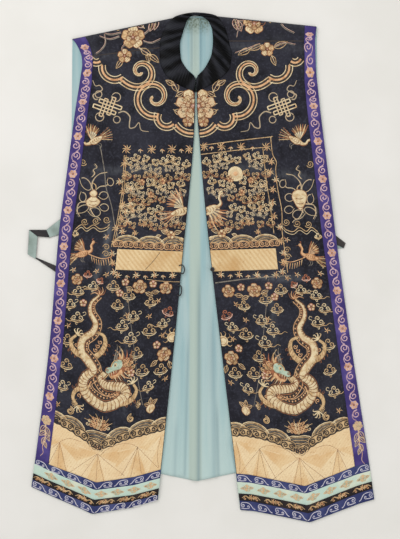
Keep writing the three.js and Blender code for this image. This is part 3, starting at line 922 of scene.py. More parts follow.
@dataclass
class BackPanel:
    """The back, one cloth with both yokes, which turns over the shoulder fold."""

    yoke_span: float = 250.0
    across_step: float = 9.0
    settle_rows: int = 4
    back_rows: int = 40
    roll_rows: int = 10
    yoke_rows: int = 14
    neck_cells: int = 4
    flat: tuple[float, float] = (0.54, 1.06)

    def build(self) -> None:
        """Build and dress the back panel."""
        per_side = int(self.yoke_span / self.across_step)
        shares = np.linspace(0, 1, per_side + 1)
        neck = np.linspace(0, 1, self.neck_cells + 1)[1:-1]

        def line(left_along: float, right_along: float) -> Array:
            """A row of places across both yokes and the neck between them.

            Args:
                left_along: Place down the left yoke.
                right_along: Place down the right yoke.

            Returns:
                Places on the plan.
            """
            left = LEFT.point(shares[::-1], left_along)
            right = RIGHT.point(shares, right_along)
            between = left[-1] + (right[0] - left[-1]) * neck[:, None]
            return np.concatenate([left, between, right])

        fold = line(LEFT.fold, RIGHT.fold)
        columns = len(fold)
        start = fold[:, 1] - FOLD_ROLL - CLOTH / 2
        hem_x = BACK_HEM[0, 0] + (BACK_HEM[-1, 0] - BACK_HEM[0, 0]) * np.linspace(0, 1, columns)
        hem_y = np.interp(hem_x, BACK_HEM[:, 0], BACK_HEM[:, 1])
        outer, inner = [], []
        for t in np.linspace(0, 1, self.back_rows + 1):
            x = hem_x + (fold[:, 0] - hem_x) * t
            y = hem_y + (start - hem_y) * t
            outer.append(np.stack([x, y, np.zeros(columns)], axis=1))
            inner.append(np.stack([x, y, np.full(columns, CLOTH)], axis=1))
        for k in range(1, self.roll_rows + 1):
            angle = math.pi * (k / self.roll_rows - 0.5)
            for rows, half in ((outer, CLOTH / 2), (inner, -CLOTH / 2)):
                radius = FOLD_ROLL + half
                y = start + radius * math.cos(angle)
                z = np.full(columns, CLOTH / 2 + FOLD_ROLL + radius * math.sin(angle))
                rows.append(np.stack([fold[:, 0], y, z], axis=1))
        for k in range(1, self.yoke_rows + 1):
            share = 1 - k / self.yoke_rows
            lie = line(LEFT.fold * share, RIGHT.fold * share)
            bed = bed_height(lie[:, 0], lie[:, 1])
            settle = smooth_step(np.full(columns, k), 0, self.settle_rows)
            base = UPPER_BASE + (bed - UPPER_BASE) * settle + FRONT_RISE
            outer.append(np.column_stack([lie, base + CLOTH]))
            inner.append(np.column_stack([lie, base]))
        keep = np.ones((len(outer) - 1, columns - 1), bool)
        keep[self.back_rows :, per_side : per_side + self.neck_cells] = False
        cloth = close_cloth(np.array(outer), np.array(inner), keep, flip=True)
        piece = add_piece(
            "back_cloth", cloth, [GROUND.material(), LINING_SILK.material()], ["back_panel"],
            {"rub": rub_marks},
        )


def open_distance(x: Array, y: Array) -> Array:
    """Open distance from a place to the nearer front edge; negative under a front."""
    return np.minimum(x - LEFT.inner_x(y), RIGHT.inner_x(y) - x)


@dataclass
class BackLining:
    """The pale lining of the back, seen in the open front and the neck."""

    rows: int = 150
    open_from: float = -88.0
    open_to: float = 82.0
    step: float = 2.2
    flat: tuple[float, float] = (0.54, 1.0)
    # Top Y and X, low Y and X, width and height of each lengthwise fold.
    folds: Array = field(default_factory=lambda: np.array([
        (80, -14, -480, -16, 9, 5.0),
        (-90, -32, -390, -40, 6, 3.4),
        (-20, 8, -480, 14, 13, 3.0),
        (-260, 27, -480, 32, 6, 3.2),
        (-350, 50, -470, 74, 7, 4.0),
        (-300, -62, -470, -68, 9, 2.4),
        (560, -17, 400, -15, 3.0, 1.6),
        (560, -2, 400, 0, 2.6, 1.4),
    ]))

    def fold_height(self, x: Array, y: Array) -> Array:
        """Height that the lengthwise folds add.

        Args:
            x: X of the places.
            y: Y of the places.

        Returns:
            Heights in millimetres.
        """
        total = np.zeros_like(x)
        for top_y, top_x, low_y, low_x, width, height in self.folds:
            t = (top_y - y) / (top_y - low_y)
            ridge = np.exp(-(((x - top_x - (low_x - top_x) * t) / width) ** 2))
            ends = smooth_step(t, 0, 0.3) if top_y < 500 else 1 - smooth_step(t, 0.75, 1.0)
            total += np.where((t > 0) & (t < 1.2), height * ends * ridge, 0)
        room = smooth_step(open_distance(x, y), 9, 20)
        neck = smooth_step(y, 425, 450) * smooth_step(30 - np.abs(x + 9), 0, 8)
        ripple = 0.25 * np.sin(x / 6 + np.sin(y / 60)) * np.sin(y / 45)
        return total * np.maximum(room, neck) + ripple * room

    def shades(self) -> dict[str, Callable[[Array, Array], Array]]:
        """Fading, painted shade and stain that the silk carries.

        Returns:
            Rules by the name that the mesh carries.
        """

        def fade(x: Array, y: Array) -> Array:
            """The green-grey strip down the centre back.

            Args:
                x: X of the places.
                y: Y of the places.

            Returns:
                Its strength.
            """
            centre = -13.0 + (450 - y) * 0.001
            half = 9 + (450 - y) * 0.004
            strip = 1 - smooth_step(np.abs(x - centre) - half, -2, 4)
            return strip * 0.95

        def shade(x: Array, y: Array) -> Array:
            """Painted shade: deeper blue in the troughs beside the folds, along two folds by the centre strip and
            towards the neck.

            Args:
                x: X of the places.
                y: Y of the places.

            Returns:
                Its strength.
            """
            dark = np.zeros_like(x)
            for top_y, top_x, low_y, low_x, width, height in self.folds[:6]:
                t = (top_y - y) / (top_y - low_y)
                off = x - top_x - (low_x - top_x) * t - width * 1.25
                ends = smooth_step(t, 0.05, 0.35) * (t < 1.2)
                dark += 0.1 * height * ends * np.exp(-((off / (width * 0.45)) ** 2))
            for middle in (-19.5, -0.5):
                dark += 0.45 * smooth_step(y, 405, 440) * np.exp(-(((x - middle) / 1.8) ** 2))
            return dark + 0.16 * smooth_step(y, 380, 500)

        def stain(x: Array, y: Array) -> Array:
            """Dark green marks where the neck has rubbed."""
            return smooth_step(y, 494, 528) * smooth_step(34 - np.abs(x + 9), 0, 12)

        return {"fade": fade, "shade": shade, "stain": stain}

    def build(self) -> None:
        """Build and dress the back lining."""
        count = int((self.open_to - self.open_from) / self.step)
        inside = np.linspace(self.open_from, self.open_to, count)
        hem_x = np.concatenate([[-282, -240, -180, -130], inside, [125, 165, 210, 256]])
        share = (hem_x - hem_x[0]) / (hem_x[-1] - hem_x[0])
        top_x = BACK_TOP_X[0] + 1.5 + (BACK_TOP_X[1] - BACK_TOP_X[0] - 3) * share
        hem_y = np.interp(hem_x, BACK_HEM[:, 0], BACK_HEM[:, 1]) + 1.5
        t = np.linspace(0, 1, self.rows + 1)[:, None]
        x = hem_x + (top_x - hem_x) * t * np.abs(2 * share - 1) ** 2
        y = hem_y + (fold_y(x) - 7 - hem_y) * t
        z = BACK_LINING_BASE + self.fold_height(x, y)
        low = np.stack([x, y, z], axis=-1)
        top = low + (0, 0, LINING)
        paint = self.shades()
        cloth = close_cloth(top, low)
        silk = LINING_SILK.material()
        piece = add_piece("back_lining_silk", cloth, [silk, silk], ["back_lining"], paint)


@dataclass
class Front:
    """One front: its silk, its lining, its side band and its four hem bands."""

    cut: FrontCut
    step: float = 6.0
    span: float = 275.0
    flat: tuple[float, float] = (0.272, 1.0)

    @property
    def word(self) -> str:
        """The side's name, for the names of pieces."""
        return self.cut.side.value

    def layer(
        self,
        along: Callable[[Array, Array], Array],
        across: tuple[float, float],
        length: float,
        rise: float,
        thick: float,
    ) -> Cloth:
        """A wall of cloth that follows the front.

        Args:
            along: Distance below the seam from the share of the width and of the length.
            across: Shares of the width between which it lies.
            length: Length of the layer, in millimetres.
            rise: Height of its underside above the bed.
            thick: Its thickness.

        Returns:
            The cloth.
        """
        columns = max(3, int(self.span * (across[1] - across[0]) / self.step)) + 1
        rows = max(3, int(length / self.step)) + 1
        u = np.linspace(across[0], across[1], columns)[None, :]
        t = np.linspace(0, 1, rows)[:, None]
        u, t = np.broadcast_arrays(u, t)
        place = self.cut.point(u, along(u, t))
        x, y = place[..., 0], place[..., 1]
        low = np.dstack([x, y, bed_height(x, y) + rise])
        return close_cloth(low + (0, 0, thick), low, flip=self.cut.side is Side.RIGHT)

    def silk(self) -> Any:
        """Build the embroidered silk's own cloth.

        Returns:
            The piece.
        """

        def along(u: Array, t: Array) -> Array:
            """From the shoulder seam to the hem."""
            return GAP / 2 + (self.cut.band_top(u, 4) - GAP / 2) * t

        cloth = self.layer(along, (0, 1), length=1000, rise=FRONT_RISE, thick=CLOTH)
        materials = [GROUND.material(), LINING_SILK.material()]
        paint = {"rub": rub_marks}
        return add_piece(f"front_silk_{self.word}", cloth, materials, [f"front_{self.word}"], paint)

    def lining(self) -> None:
        """Build the lining, which reaches under the yoke."""
        start = self.cut.fold + 5

        def along(u: Array, t: Array) -> Array:
            """From just under the shoulder fold to the hem."""
            return start + (self.cut.band_top(u, 4) + self.cut.lining_show - start) * t

        cloth = self.layer(along, (0.008, 0.992), length=1040, rise=0, thick=LINING)
        silk = LINING_SILK.material()
        none = {key: (lambda x, y: np.zeros_like(x)) for key in ("fade", "shade", "stain")}
        piece = add_piece(f"front_lining_{self.word}", cloth, [silk, silk], [f"lining_{self.word}"], none)

    def side_band(self) -> Any:
        """Build the purple ribbon down the outer edge.

        Returns:
            The piece.
        """
        start = self.cut.fold + 2

        def along(u: Array, t: Array) -> Array:
            """From the shoulder fold to the first hem band."""
            return start + (self.cut.band_top(u, 0) - GAP - start) * t

        cloth = self.layer(along, (1 - SIDE_BAND_SHARE, 1), length=980, rise=TRIM_RISE, thick=TRIM)
        silk = PURPLE.material()
        return add_piece(f"side_ribbon_{self.word}", cloth, [silk, silk], [f"side_band_{self.word}"])

    def hem_bands(self) -> list[Any]:
        """Build the four ribbons along the hem.

        Returns:
            The pieces, from the top.
        """
        rows = [
            ("hem_wave_upper", WAVE_RIBBON, "wave"),
            ("hem_pale", PALE_RIBBON, "pale"),
            ("hem_dark", DARK_RIBBON, "dark"),
            ("hem_wave_lower", WAVE_RIBBON, "wave"),
        ]
        made = []
        for row, (node, finish, slot) in enumerate(rows):

            def along(u: Array, t: Array, row: int = row) -> Array:
                """From the band's upper edge to the next one."""
                top = self.cut.band_top(u, row) + (GAP if row else 0)
                return top + (self.cut.band_top(u, row + 1) - top) * t

            cloth = self.layer(along, (0, 1), length=24, rise=TRIM_RISE, thick=TRIM)
            silk = finish.material()
            name = f"{node}_ribbon_{self.word}"
            made.append(add_piece(name, cloth, [silk, silk], [f"{node}_{self.word}"]))
        return made

    def build(self) -> None:
        """Build every piece of the front."""
        silk = self.silk()
        self.lining()
        trims = [self.side_band(), *self.hem_bands()]


@dataclass
class Collar:
    """A gathered ring of black satin round the neck, open at the centre front."""

    steps: int = 620
    cells: int = 26
    thick: float = 1.4
    arch: float = 3.4
    gathers: float = 41.0
    depth: float = 2.6
    flat: tuple[float, float] = (0.42, 0.052)
    # Inner edge X and Y and outer edge X and Y, from the left of the centre front round the neck.
    edges: Array = field(default_factory=lambda: np.array([
        (-11.2, 407, -11.2, 377),
        (-32, 429, -50, 394),
        (-43, 450, -78, 418),
        (-45, 478, -88, 448),
        (-39, 504, -88, 482),
        (-30, 530, -76, 517),
        (-21, 540, -52, 541),
        (-11, 541.5, -11, 548.5),
        (1, 540, 30, 543),
        (16, 530, 51, 518),
        (25, 509, 61, 484),
        (26.5, 487, 66, 458),
        (24, 461, 62, 430),
        (13, 435, 40, 405),
        (-9.2, 407, -9.2, 377),
    ]))

    def build(self) -> None:
        """Build and dress the collar."""
        last = len(self.edges) - 1
        turn = np.linspace(0, last, self.steps + 1)[:, None]
        across = np.linspace(0, 1, self.cells + 1)[None, :]
        columns = [Track(range(last + 1), self.edges[:, k])(turn) for k in range(4)]
        x = columns[0] + (columns[2] - columns[0]) * across
        y = columns[1] + (columns[3] - columns[1]) * across
        phase = 2 * math.pi * turn / last
        sway = 0.5 * np.sin(3 * phase + 1) + 0.35 * np.sin(7 * phase)
        pleat = np.sin(self.gathers * phase + 2.4 * across + 2 * sway)
        broad = np.sin(0.37 * self.gathers * phase - 3 * across + 3 * sway)
        fine = np.sin(2.3 * self.gathers * phase + 5 * across * sway)
        gather = 0.45 * (1 - np.abs(pleat)) ** 1.4 + 0.35 * (0.5 + 0.5 * broad) + 0.2 * (0.5 + 0.5 * fine)
        swell = np.sin(math.pi * across) ** 0.6
        z = FRONT_TOP + GAP + swell * (self.arch + self.depth * gather)
        low = np.stack([x, y, z], axis=-1)
        cloth = close_cloth(low + (0, 0, self.thick), low)
        satin = COLLAR_SATIN.material()

        def rub(px: Array, py: Array) -> Array:
            """Grey stripes at the left of the collar, part rubbing and part painted highlight."""
            return 0.15 * smooth_step(-px, 40, 80) * (0.5 + 0.5 * np.sin(py / 3.1 + px / 9))

        piece = add_piece("collar_satin_ring", cloth, [satin, satin], ["collar"], {"rub": rub})
        # Painted light for the satin: high on the crests of the gathers, low in the troughs; the rim gets none.
        crest = np.zeros(len(cloth.verts))
        crest[: 2 * gather.size] = np.tile((0.6 * gather + 0.25 * (broad + 1)).ravel(), 2)
        carry(piece.data, "crest", crest)


@dataclass
class FoldedTie:
    """A two-faced ribbon that lies in runs and turns over at each crease."""

    name: str
    node: str
    place: tuple[float, float]
    length: float
    creases: Array
    faces: tuple[Finish, Finish] = (TAPE_PALE, TAPE_DARK)
    breadth: float = 0.019
    thick: float = 0.5
    layer: float = 1.05
    levels: tuple[int, ...] = (0, 1, 2, 1)
    below_bed: float = 2.4
    cells: int = 8
    run_rows: int = 12
    row_shift: float = 1 / 26

    def height(self, run: int) -> float:
        """Height of the middle of one run."""
        return float(bed_height(*np.array(self.place, float))) - self.below_bed + self.levels[run] * self.layer

    def build(self) -> None:
        """Build and dress the tie."""
        runs = len(self.creases) - 1
        top, low = [], []
        across = np.linspace(0, 1, self.cells + 1)[:, None]
        for k in range(runs):
            first, second = self.creases[k], self.creases[k + 1]
            level = self.height(k)
            up = 1.0 if k % 2 == 0 else -1.0
            for t in np.linspace(0, 1, self.run_rows + 1)[:-1] + self.row_shift:
                ends = first + (second - first) * t
                line = ends[0] + (ends[1] - ends[0]) * across
                sag = 0.25 * np.sin(math.pi * across[:, 0]) * math.sin(3 * t + k)
                middle = np.column_stack([line, level + sag])
                top.append(middle + (0, 0, up * self.thick / 2))
                low.append(middle - (0, 0, up * self.thick / 2))
            if k + 1 < runs:
                top_part, low_part = self.turn(k, across)
                top += top_part
                low += low_part
        cloth = close_cloth(np.array(top), np.array(low))
        mats = [face.material() for face in self.faces]
        piece = add_piece(self.name, cloth, mats, [self.node])

    def turn(self, k: int, across: Array) -> tuple[list[Array], list[Array]]:
        """The rolled edge at a crease.

        Args:
            k: Number of the run before the crease.
            across: Shares of the ribbon's width.

        Returns:
            Rows of points of the first face and of the second.
        """
        crease = self.creases[k + 1]
        line = crease[0] + (crease[1] - crease[0]) * across
        way = crease.mean(axis=0) - self.creases[k].mean(axis=0)
        edge = crease[1] - crease[0]
        out = np.array([edge[1], -edge[0]]) / np.linalg.norm(edge)
        out = out * np.sign(out @ way)
        here, there = self.height(k), self.height(k + 1)
        middle, radius = (here + there) / 2, (there - here) / 2
        start = 1.0 if k % 2 == 0 else -1.0
        rows: tuple[list[Array], list[Array]] = ([], [])
        for angle in np.linspace(-math.pi / 2, math.pi / 2, 7):
            for part, half in zip(rows, (start, -start)):
                reach = abs(radius) - half * math.copysign(self.thick / 2, radius)
                z = middle + math.copysign(reach, radius) * math.sin(angle)
                flat = line + out * max(reach, 0.05) * math.cos(angle)
                part.append(np.column_stack([flat, np.full(len(line), z)]))
        return rows


def tube(path: Array, radius: float, sides: int = 10) -> Cloth:
    """A round cord along a path, closed at its ends.

    Args:
        path: Points along the middle of the cord.
        radius: Radius of the cord.
        sides: Points round it.

    Returns:
        The cord.
    """
    way = np.gradient(path, axis=0)
    way /= np.linalg.norm(way, axis=1, keepdims=True)
    side = np.cross(way, (0.05, 0.02, 1.0))
    side /= np.linalg.norm(side, axis=1, keepdims=True)
    up = np.cross(side, way)
    angle = np.linspace(0, 2 * math.pi, sides, endpoint=False)[None, :, None]
    rings = path[:, None] + radius * (np.cos(angle) * side[:, None] + np.sin(angle) * up[:, None])
    n = len(path)
    faces = []
    for j in range(n - 1):
        for i in range(sides):
            k = (i + 1) % sides
            faces.append([j * sides + i, j * sides + k, (j + 1) * sides + k, (j + 1) * sides + i])
    faces += [list(range(sides))[::-1], list(range((n - 1) * sides, n * sides))]
    return Cloth(rings.reshape(-1, 3), faces)


def smooth_path(points: Points, per: int = 8, closed: bool = False) -> Array:
    """Catmull-Rom curve through points.

    Args:
        points: Points of any dimension.
        per: Steps between neighbours.
        closed: Whether the last point joins the first.

    Returns:
        Points along the curve.
    """
    p = np.asarray(points, float)
    if closed:
        p = np.concatenate([p[-1:], p, p[:2]])
    else:
        p = np.concatenate([2 * p[:1] - p[1:2], p, 2 * p[-1:] - p[-2:-1]])
    t = np.linspace(0, 1, per, endpoint=False)[:, None]
    parts = []
    for a, b, c, d in zip(p[:-3], p[1:-2], p[2:-1], p[3:]):
        bend, twist = 2 * a - 5 * b + 4 * c - d, 3 * b - a - 3 * c + d
        parts.append(0.5 * (2 * b + (c - a) * t + bend * t**2 + twist * t**3))
    whole = np.concatenate(parts)
    return whole if closed else np.concatenate([whole, p[-2:-1]])


@dataclass
class Fastenings:
    """The knot and the two cord loops at the front edges."""

    radius: float = 1.3
    loops: dict[str, Array] = field(default_factory=lambda: {
        "frog_loop": np.array([(-47, 3), (-39, 4), (-35, -5), (-38, -14), (-47, -13)]),
        "cord_loop": np.array([(-50, -40), (-43, -41), (-41, -51), (-44, -61), (-51, -61)]),
    })
    knot_at: tuple[float, float] = (25.0, -5.0)
    knot_lift: float = 4.0
    ring: float = 3.3

    def build(self) -> None:
        """Build the loops and the knot."""
        cord = CORD.material()
        for node, plan in self.loops.items():
            flat = smooth_path(plan, 8)
            z = bed_height(flat[:, 0], flat[:, 1]) + TRIM_RISE + self.radius + 0.1
            add_piece(f"{node}_braid", tube(np.column_stack([flat, z]), self.radius), [cord], [node])
        x, y = self.knot_at
        centre = np.array([x, y, float(bed_height(np.array(x), np.array(y))) + TRIM_RISE + self.knot_lift])
        verts, faces, total = [], [], 0
        angle = np.linspace(0, 2 * math.pi, 33)
        for tilt in (0.0, 1.05, 2.1):
            x, y, z = self.ring * np.cos(angle), self.ring * np.sin(angle), 0.9 * np.sin(2 * angle + tilt)
            c, s = math.cos(tilt), math.sin(tilt)
            ring = np.column_stack([x, c * y - s * z, s * y + c * z])
            part = tube(ring * (1, 1, 0.8) + centre, 1.5)
            verts.append(part.verts)
            faces += [[i + total for i in face] for face in part.faces]
            total += len(part.verts)
        add_piece("frog_knot_braid", Cloth(np.concatenate(verts), faces), [cord], ["frog_knot"])


def arc(x: float, y: float, radius: float, start: float, end: float, squash: float = 1.0) -> Array:
    """Points of an arc, with its angles in degrees.

    Args:
        x: X of its middle.
        y: Y of its middle.
        radius: Its radius.
        start: Where it starts, in degrees.
        end: Where it ends, in degrees.
        squash: Its height as a share of its width.

    Returns:
        The points.
    """
    count = max(4, int(abs(end - start) / 20)) + 1
    angle = np.radians(np.linspace(start, end, count))
    return np.column_stack([x + radius * np.cos(angle), y + squash * radius * np.sin(angle)])


def spiral(
    x: float, y: float, radius: float, start: float, turns: float = 1.4, core: float = 0.16, power: float = 1.0
) -> Array:
    """Points of a spiral that winds inwards, its start in degrees and its turns signed.

    Args:
        x: X of its middle.
        y: Y of its middle.
        radius: Its radius.
        start: Where it starts, in degrees.
        turns: Turns, signed.
        core: Share of the radius left at the middle.
        power: How fast it draws in.

    Returns:
        The points.
    """
    t = np.linspace(0, 1, max(8, int(abs(turns) * 15)))
    angle = math.radians(start) + 2 * math.pi * turns * t
    reach = radius * (1 - (1 - core) * t**power)
    return np.column_stack([x + reach * np.cos(angle), y + reach * np.sin(angle)])


def sides_of(path: Array) -> Array:
    """Unit vectors to the left of a flat path.

    Args:
        path: Points of the path.

    Returns:
        The vectors.
    """
    way = np.gradient(path, axis=0)
    way /= np.maximum(np.linalg.norm(way, axis=1, keepdims=True), 1e-9)
    return np.column_stack([-way[:, 1], way[:, 0]])


# How far thread keeps from the inner edge, from the outer ribbon or edge and from the shoulder fold.
EDGE_CLEAR, TRIM_CLEAR, FOLD_CLEAR = 0.9, 0.6, 2.2


@dataclass
class Needle:
    """Lays couched threads and patches on one surface of a front."""

    cut: FrontCut
    rise: float = FRONT_RISE + CLOTH
    on_silk: bool = True
    pitch: float = 1.8
    shortest: float = 0.8
    wall: float = 0.45
    foot: float = 0.04
    work: dict[Tone, list[tuple[Array, list]]] = field(default_factory=dict)

    def inside(self, xy: Array) -> Array:
        """Whether places lie on the front's own silk, clear of its edges.

        Args:
            xy: Places on the plan.

        Returns:
            True where a thread may lie.
        """
        x, y = xy[:, 0], xy[:, 1]
        sign = self.cut.sign
        outer = self.cut.outer_x(y) if self.on_silk else self.cut.outer_x(y, 1.0)
        clear = (sign * (x - self.cut.inner_x(y)) > EDGE_CLEAR) & (sign * (outer - x) > TRIM_CLEAR)
        return clear & (y < fold_y(x) - FOLD_CLEAR)

    def _keep(self, tone: Tone, xy: Array, height: Array, faces: list) -> None:
        """Set points on the surface and keep them with their faces."""
        z = bed_height(xy[:, 0], xy[:, 1]) + self.rise + height
        self.work.setdefault(tone, []).append((np.column_stack([xy, z]), faces))

    def thread(self, tone: Tone, path: Array, width: Any, lift: float = 0.5, cells: int = 2) -> None:
        """Couch one thread, or a padded band, along a path on the plan.

        Args:
            tone: Thread that is laid.
            path: Points on the plan.
            width: Width, or a width for each point.
            lift: Height of its middle.
            cells: Cells across it.
        """
        width = np.broadcast_to(np.asarray(width, float), len(path))
        steps = np.linalg.norm(np.diff(path, axis=0), axis=1)
        reach = np.concatenate([[0], np.cumsum(steps)])
        if reach[-1] < self.shortest:
            return
        at = np.linspace(0, reach[-1], max(2, int(reach[-1] / self.pitch)) + 1)
        line = np.column_stack([np.interp(at, reach, path[:, k]) for k in (0, 1)])
        wide = np.interp(at, reach, width)
        inside = self.inside(line)
        side = sides_of(line)
        u = np.linspace(1, -1, cells + 1)
        foot = max(self.foot, lift - self.wall) if cells == 2 else self.foot
        profile = foot + np.sqrt(np.clip(1 - u**2, 0, 1)) * (lift - foot)
        starts = np.flatnonzero(inside & ~np.concatenate([[False], inside[:-1]]))
        ends = np.flatnonzero(inside & ~np.concatenate([inside[1:], [False]])) + 1
        for a, b in zip(starts, ends):
            if b - a < 2:
                continue
            xy = line[a:b, None] + side[a:b, None] * u[None, :, None] * wide[a:b, None, None] / 2
            faces = grid_faces(b - a, cells + 1)[:, ::-1].tolist()
            self._keep(tone, xy.reshape(-1, 2), np.tile(profile, b - a), faces)

    def patch(self, tone: Tone, outline: Array, crown: float = 0.6) -> None:
        """Lay a padded patch inside an outline on the plan.

        Args:
            tone: Thread that is laid.
            outline: Points round the patch.
            crown: Height of its middle.
        """
        outline = outline[:-1] if np.allclose(outline[0], outline[-1]) else outline
        x, y = outline[:, 0], outline[:, 1]
        if np.sum(x * np.roll(y, -1) - np.roll(x, -1) * y) < 0:
            outline = outline[::-1]
        middle = outline.mean(axis=0)
        if not self.inside(middle[None])[0]:
            return
        inside = self.inside(outline)
        pull = np.where(inside, 1.0, 0.0)
        for share in (0.85, 0.7, 0.55, 0.4, 0.25):
            trial = self.inside(middle + (outline - middle) * share)
            pull = np.where((pull == 0) & trial, share, pull)
        rim = middle + (outline - middle) * pull[:, None]
        n = len(rim)
        points = np.concatenate([rim, middle + (rim - middle) * 0.66, middle[None]])
        height = np.concatenate([np.full(n, 0.03), np.full(n, 0.8 * crown), [crown]])
        faces = []
        for i in range(n):
            j = (i + 1) % n
            faces += [[i, j, n + j, n + i], [n + i, n + j, 2 * n]]
        self._keep(tone, points, height, faces)

    def cloths(self) -> dict[Tone, Cloth]:
        """Join all that was laid into one mesh for each tone.

        Returns:
            A mesh by tone.
        """
        made = {}
        for tone, parts in self.work.items():
            starts = np.cumsum([0] + [len(points) for points, _ in parts])
            faces = [[i + int(k) for i in face] for (_, group), k in zip(parts, starts) for face in group]
            made[tone] = Cloth(np.concatenate([points for points, _ in parts]), faces)
        return made


@dataclass
class Pen:
    """Draws in a plane of its own, in millimetres, and lays what it draws with a needle."""

    needle: Needle
    plane: Callable[[Array], Array]

    def at(self, x: float, y: float, size: float = 1.0, turn: float = 0.0, flip: bool = False) -> "Pen":
        """A pen whose plane is moved, scaled, turned in degrees and mirrored in this one.

        Args:
            x: X of its origin.
            y: Y of its origin.
            size: Size against this pen's.
            turn: Turn in degrees.
            flip: Whether it is mirrored.

        Returns:
            The pen.
        """
        c, s = math.cos(math.radians(turn)) * size, math.sin(math.radians(turn)) * size
        hand = -1.0 if flip else 1.0
        turned = np.array([[hand * c, hand * s], [-s, c]])
        return Pen(self.needle, lambda p: self.plane(p @ turned + (x, y)))

    def line(
        self, tone: Tone, points: Points, width: Any = 1.5, per: int = 5, lift: float = 0.5, closed: bool = False
    ) -> None:
        """Draw a smooth line through points; per 0 keeps it straight between them.

        Args:
            tone: Thread that is laid.
            points: Points of the line.
            width: One width, or several along it.
            per: Steps between points.
            lift: Height of its middle.
            closed: Whether its ends join.
        """
        path = smooth_path(points, per, closed) if per else np.asarray(points, float)
        if closed:
            path = np.concatenate([path, path[:1]])
        width = np.asarray(width, float)
        if width.ndim:
            width = np.interp(np.linspace(0, 1, len(path)), np.linspace(0, 1, len(width)), width)
        self.needle.thread(tone, self.plane(path), width, lift)

    def fill(self, tone: Tone, points: Points, crown: float = 0.6, per: int = 4) -> None:
        """Fill a smooth outline through points."""
        path = smooth_path(points, per, True) if per else np.asarray(points, float)
        self.needle.patch(tone, self.plane(path), crown)

    def band(self, tone: Tone, path: Array, width: Any, lift: float = 1.0) -> None:
        """Lay a wide padded band along a path."""
        self.needle.thread(tone, self.plane(path), width, lift, cells=6)

    def dot(self, tone: Tone, x: float, y: float, radius: float, crown: float = 0.6) -> None:
        """Lay a round patch."""
        self.fill(tone, arc(x, y, radius, 0, 324)[::2], crown, 3)


class Motif:
    """Something that can be drawn with a pen, about its own middle."""

    def draw(self, pen: Pen) -> None:
        """Draw the motif."""
        raise NotImplementedError


@dataclass
class Cloud(Motif):
    """A small scrolled cloud: a lobe above two curls on a flat foot."""

    line: Tone = Tone.CREAM
    foot: Tone = Tone.GOLD
    width: float = 1.7
    tail: bool = False

    def draw(self, pen: Pen) -> None:
        """Draw the cloud, about 22 mm wide.

        Args:
            pen: The pen that draws.
        """
        pen.line(self.line, spiral(-5.6, 0.2, 5.0, -60, -1.3), self.width, 1)
        pen.line(self.line, spiral(5.6, 0.2, 5.0, 240, 1.3), self.width, 1)
        pen.line(self.line, spiral(0.4, 6.4, 4.6, 200, -1.2), self.width, 1)
        pen.line(self.foot, [(-12, -1.5), (-8, -6), (0, -7.6), (8, -6), (12, -1.5)], self.width, 4)
        pen.line(self.foot, [(-5, -3.4), (0, -4.8), (5, -3.4)], 1.3, 3)
        pen.line(self.line, spiral(0, -10.5, 3.0, 150, -1.1), 1.3, 1)
        if self.tail:
            pen.line(self.foot, [(8, -6), (15, -6.5), (21, -3), (26, -5)], (self.width, 0.8), 5)
            pen.line(self.line, [(-10, 4), (-15, 7), (-13, 11), (-9, 9)], 1.2, 4)


@dataclass
class Sprig(Motif):
    """A star of short pointed leaves."""

    tone: Tone = Tone.GOLD
    leaves: int = 6
    reach: float = 6.0
    spread: float = 360.0

    def draw(self, pen: Pen) -> None:
        """Draw the leaves and a round heart.

        Args:
            pen: The pen that draws.
        """
        for k in range(self.leaves):
            angle = math.radians(-90 + self.spread * (k / self.leaves - (0.0 if self.spread == 360 else 0.4)))
            reach = self.reach * (1.0 if k % 2 else 0.78)
            tip = (reach * math.cos(angle), reach * math.sin(angle))
            bend = (0.5 * tip[0] - 0.14 * tip[1], 0.5 * tip[1] + 0.14 * tip[0])
            pen.line(self.tone if k % 3 else Tone.AMBER, [(0, 0), bend, tip], (1.0, 2.2, 0.5), 2)
        pen.dot(Tone.BROWN, 0, 0, 1.3, 0.7)


@dataclass
class Leaf(Motif):
    """A pointed leaf with its vein, from the stalk along +X."""

    length: float = 20.0
    half: float = 4.5
    tone: Tone = Tone.GOLD

    def draw(self, pen: Pen) -> None:
        """Draw the outline, the vein and the side veins.

        Args:
            pen: The pen that draws.
        """
        n, h = self.length, self.half
        for side in (1, -1):
            edge = [(0, 0), (0.3 * n, side * h), (0.68 * n, side * 0.8 * h), (n, 0.12 * h)]
            pen.line(self.tone, edge, (1.2, 1.6, 0.8), 4)
            for share in (0.3, 0.52, 0.72):
                pen.line(Tone.BROWN, [(share * n - 1.5, 0), (share * n + 1.2, side * 0.55 * h)], 0.8, 0)
        pen.line(Tone.CREAM, [(-0.12 * n, 0), (0.5 * n, 0.05 * h), (0.94 * n, 0.1 * h)], (1.4, 0.8), 3)


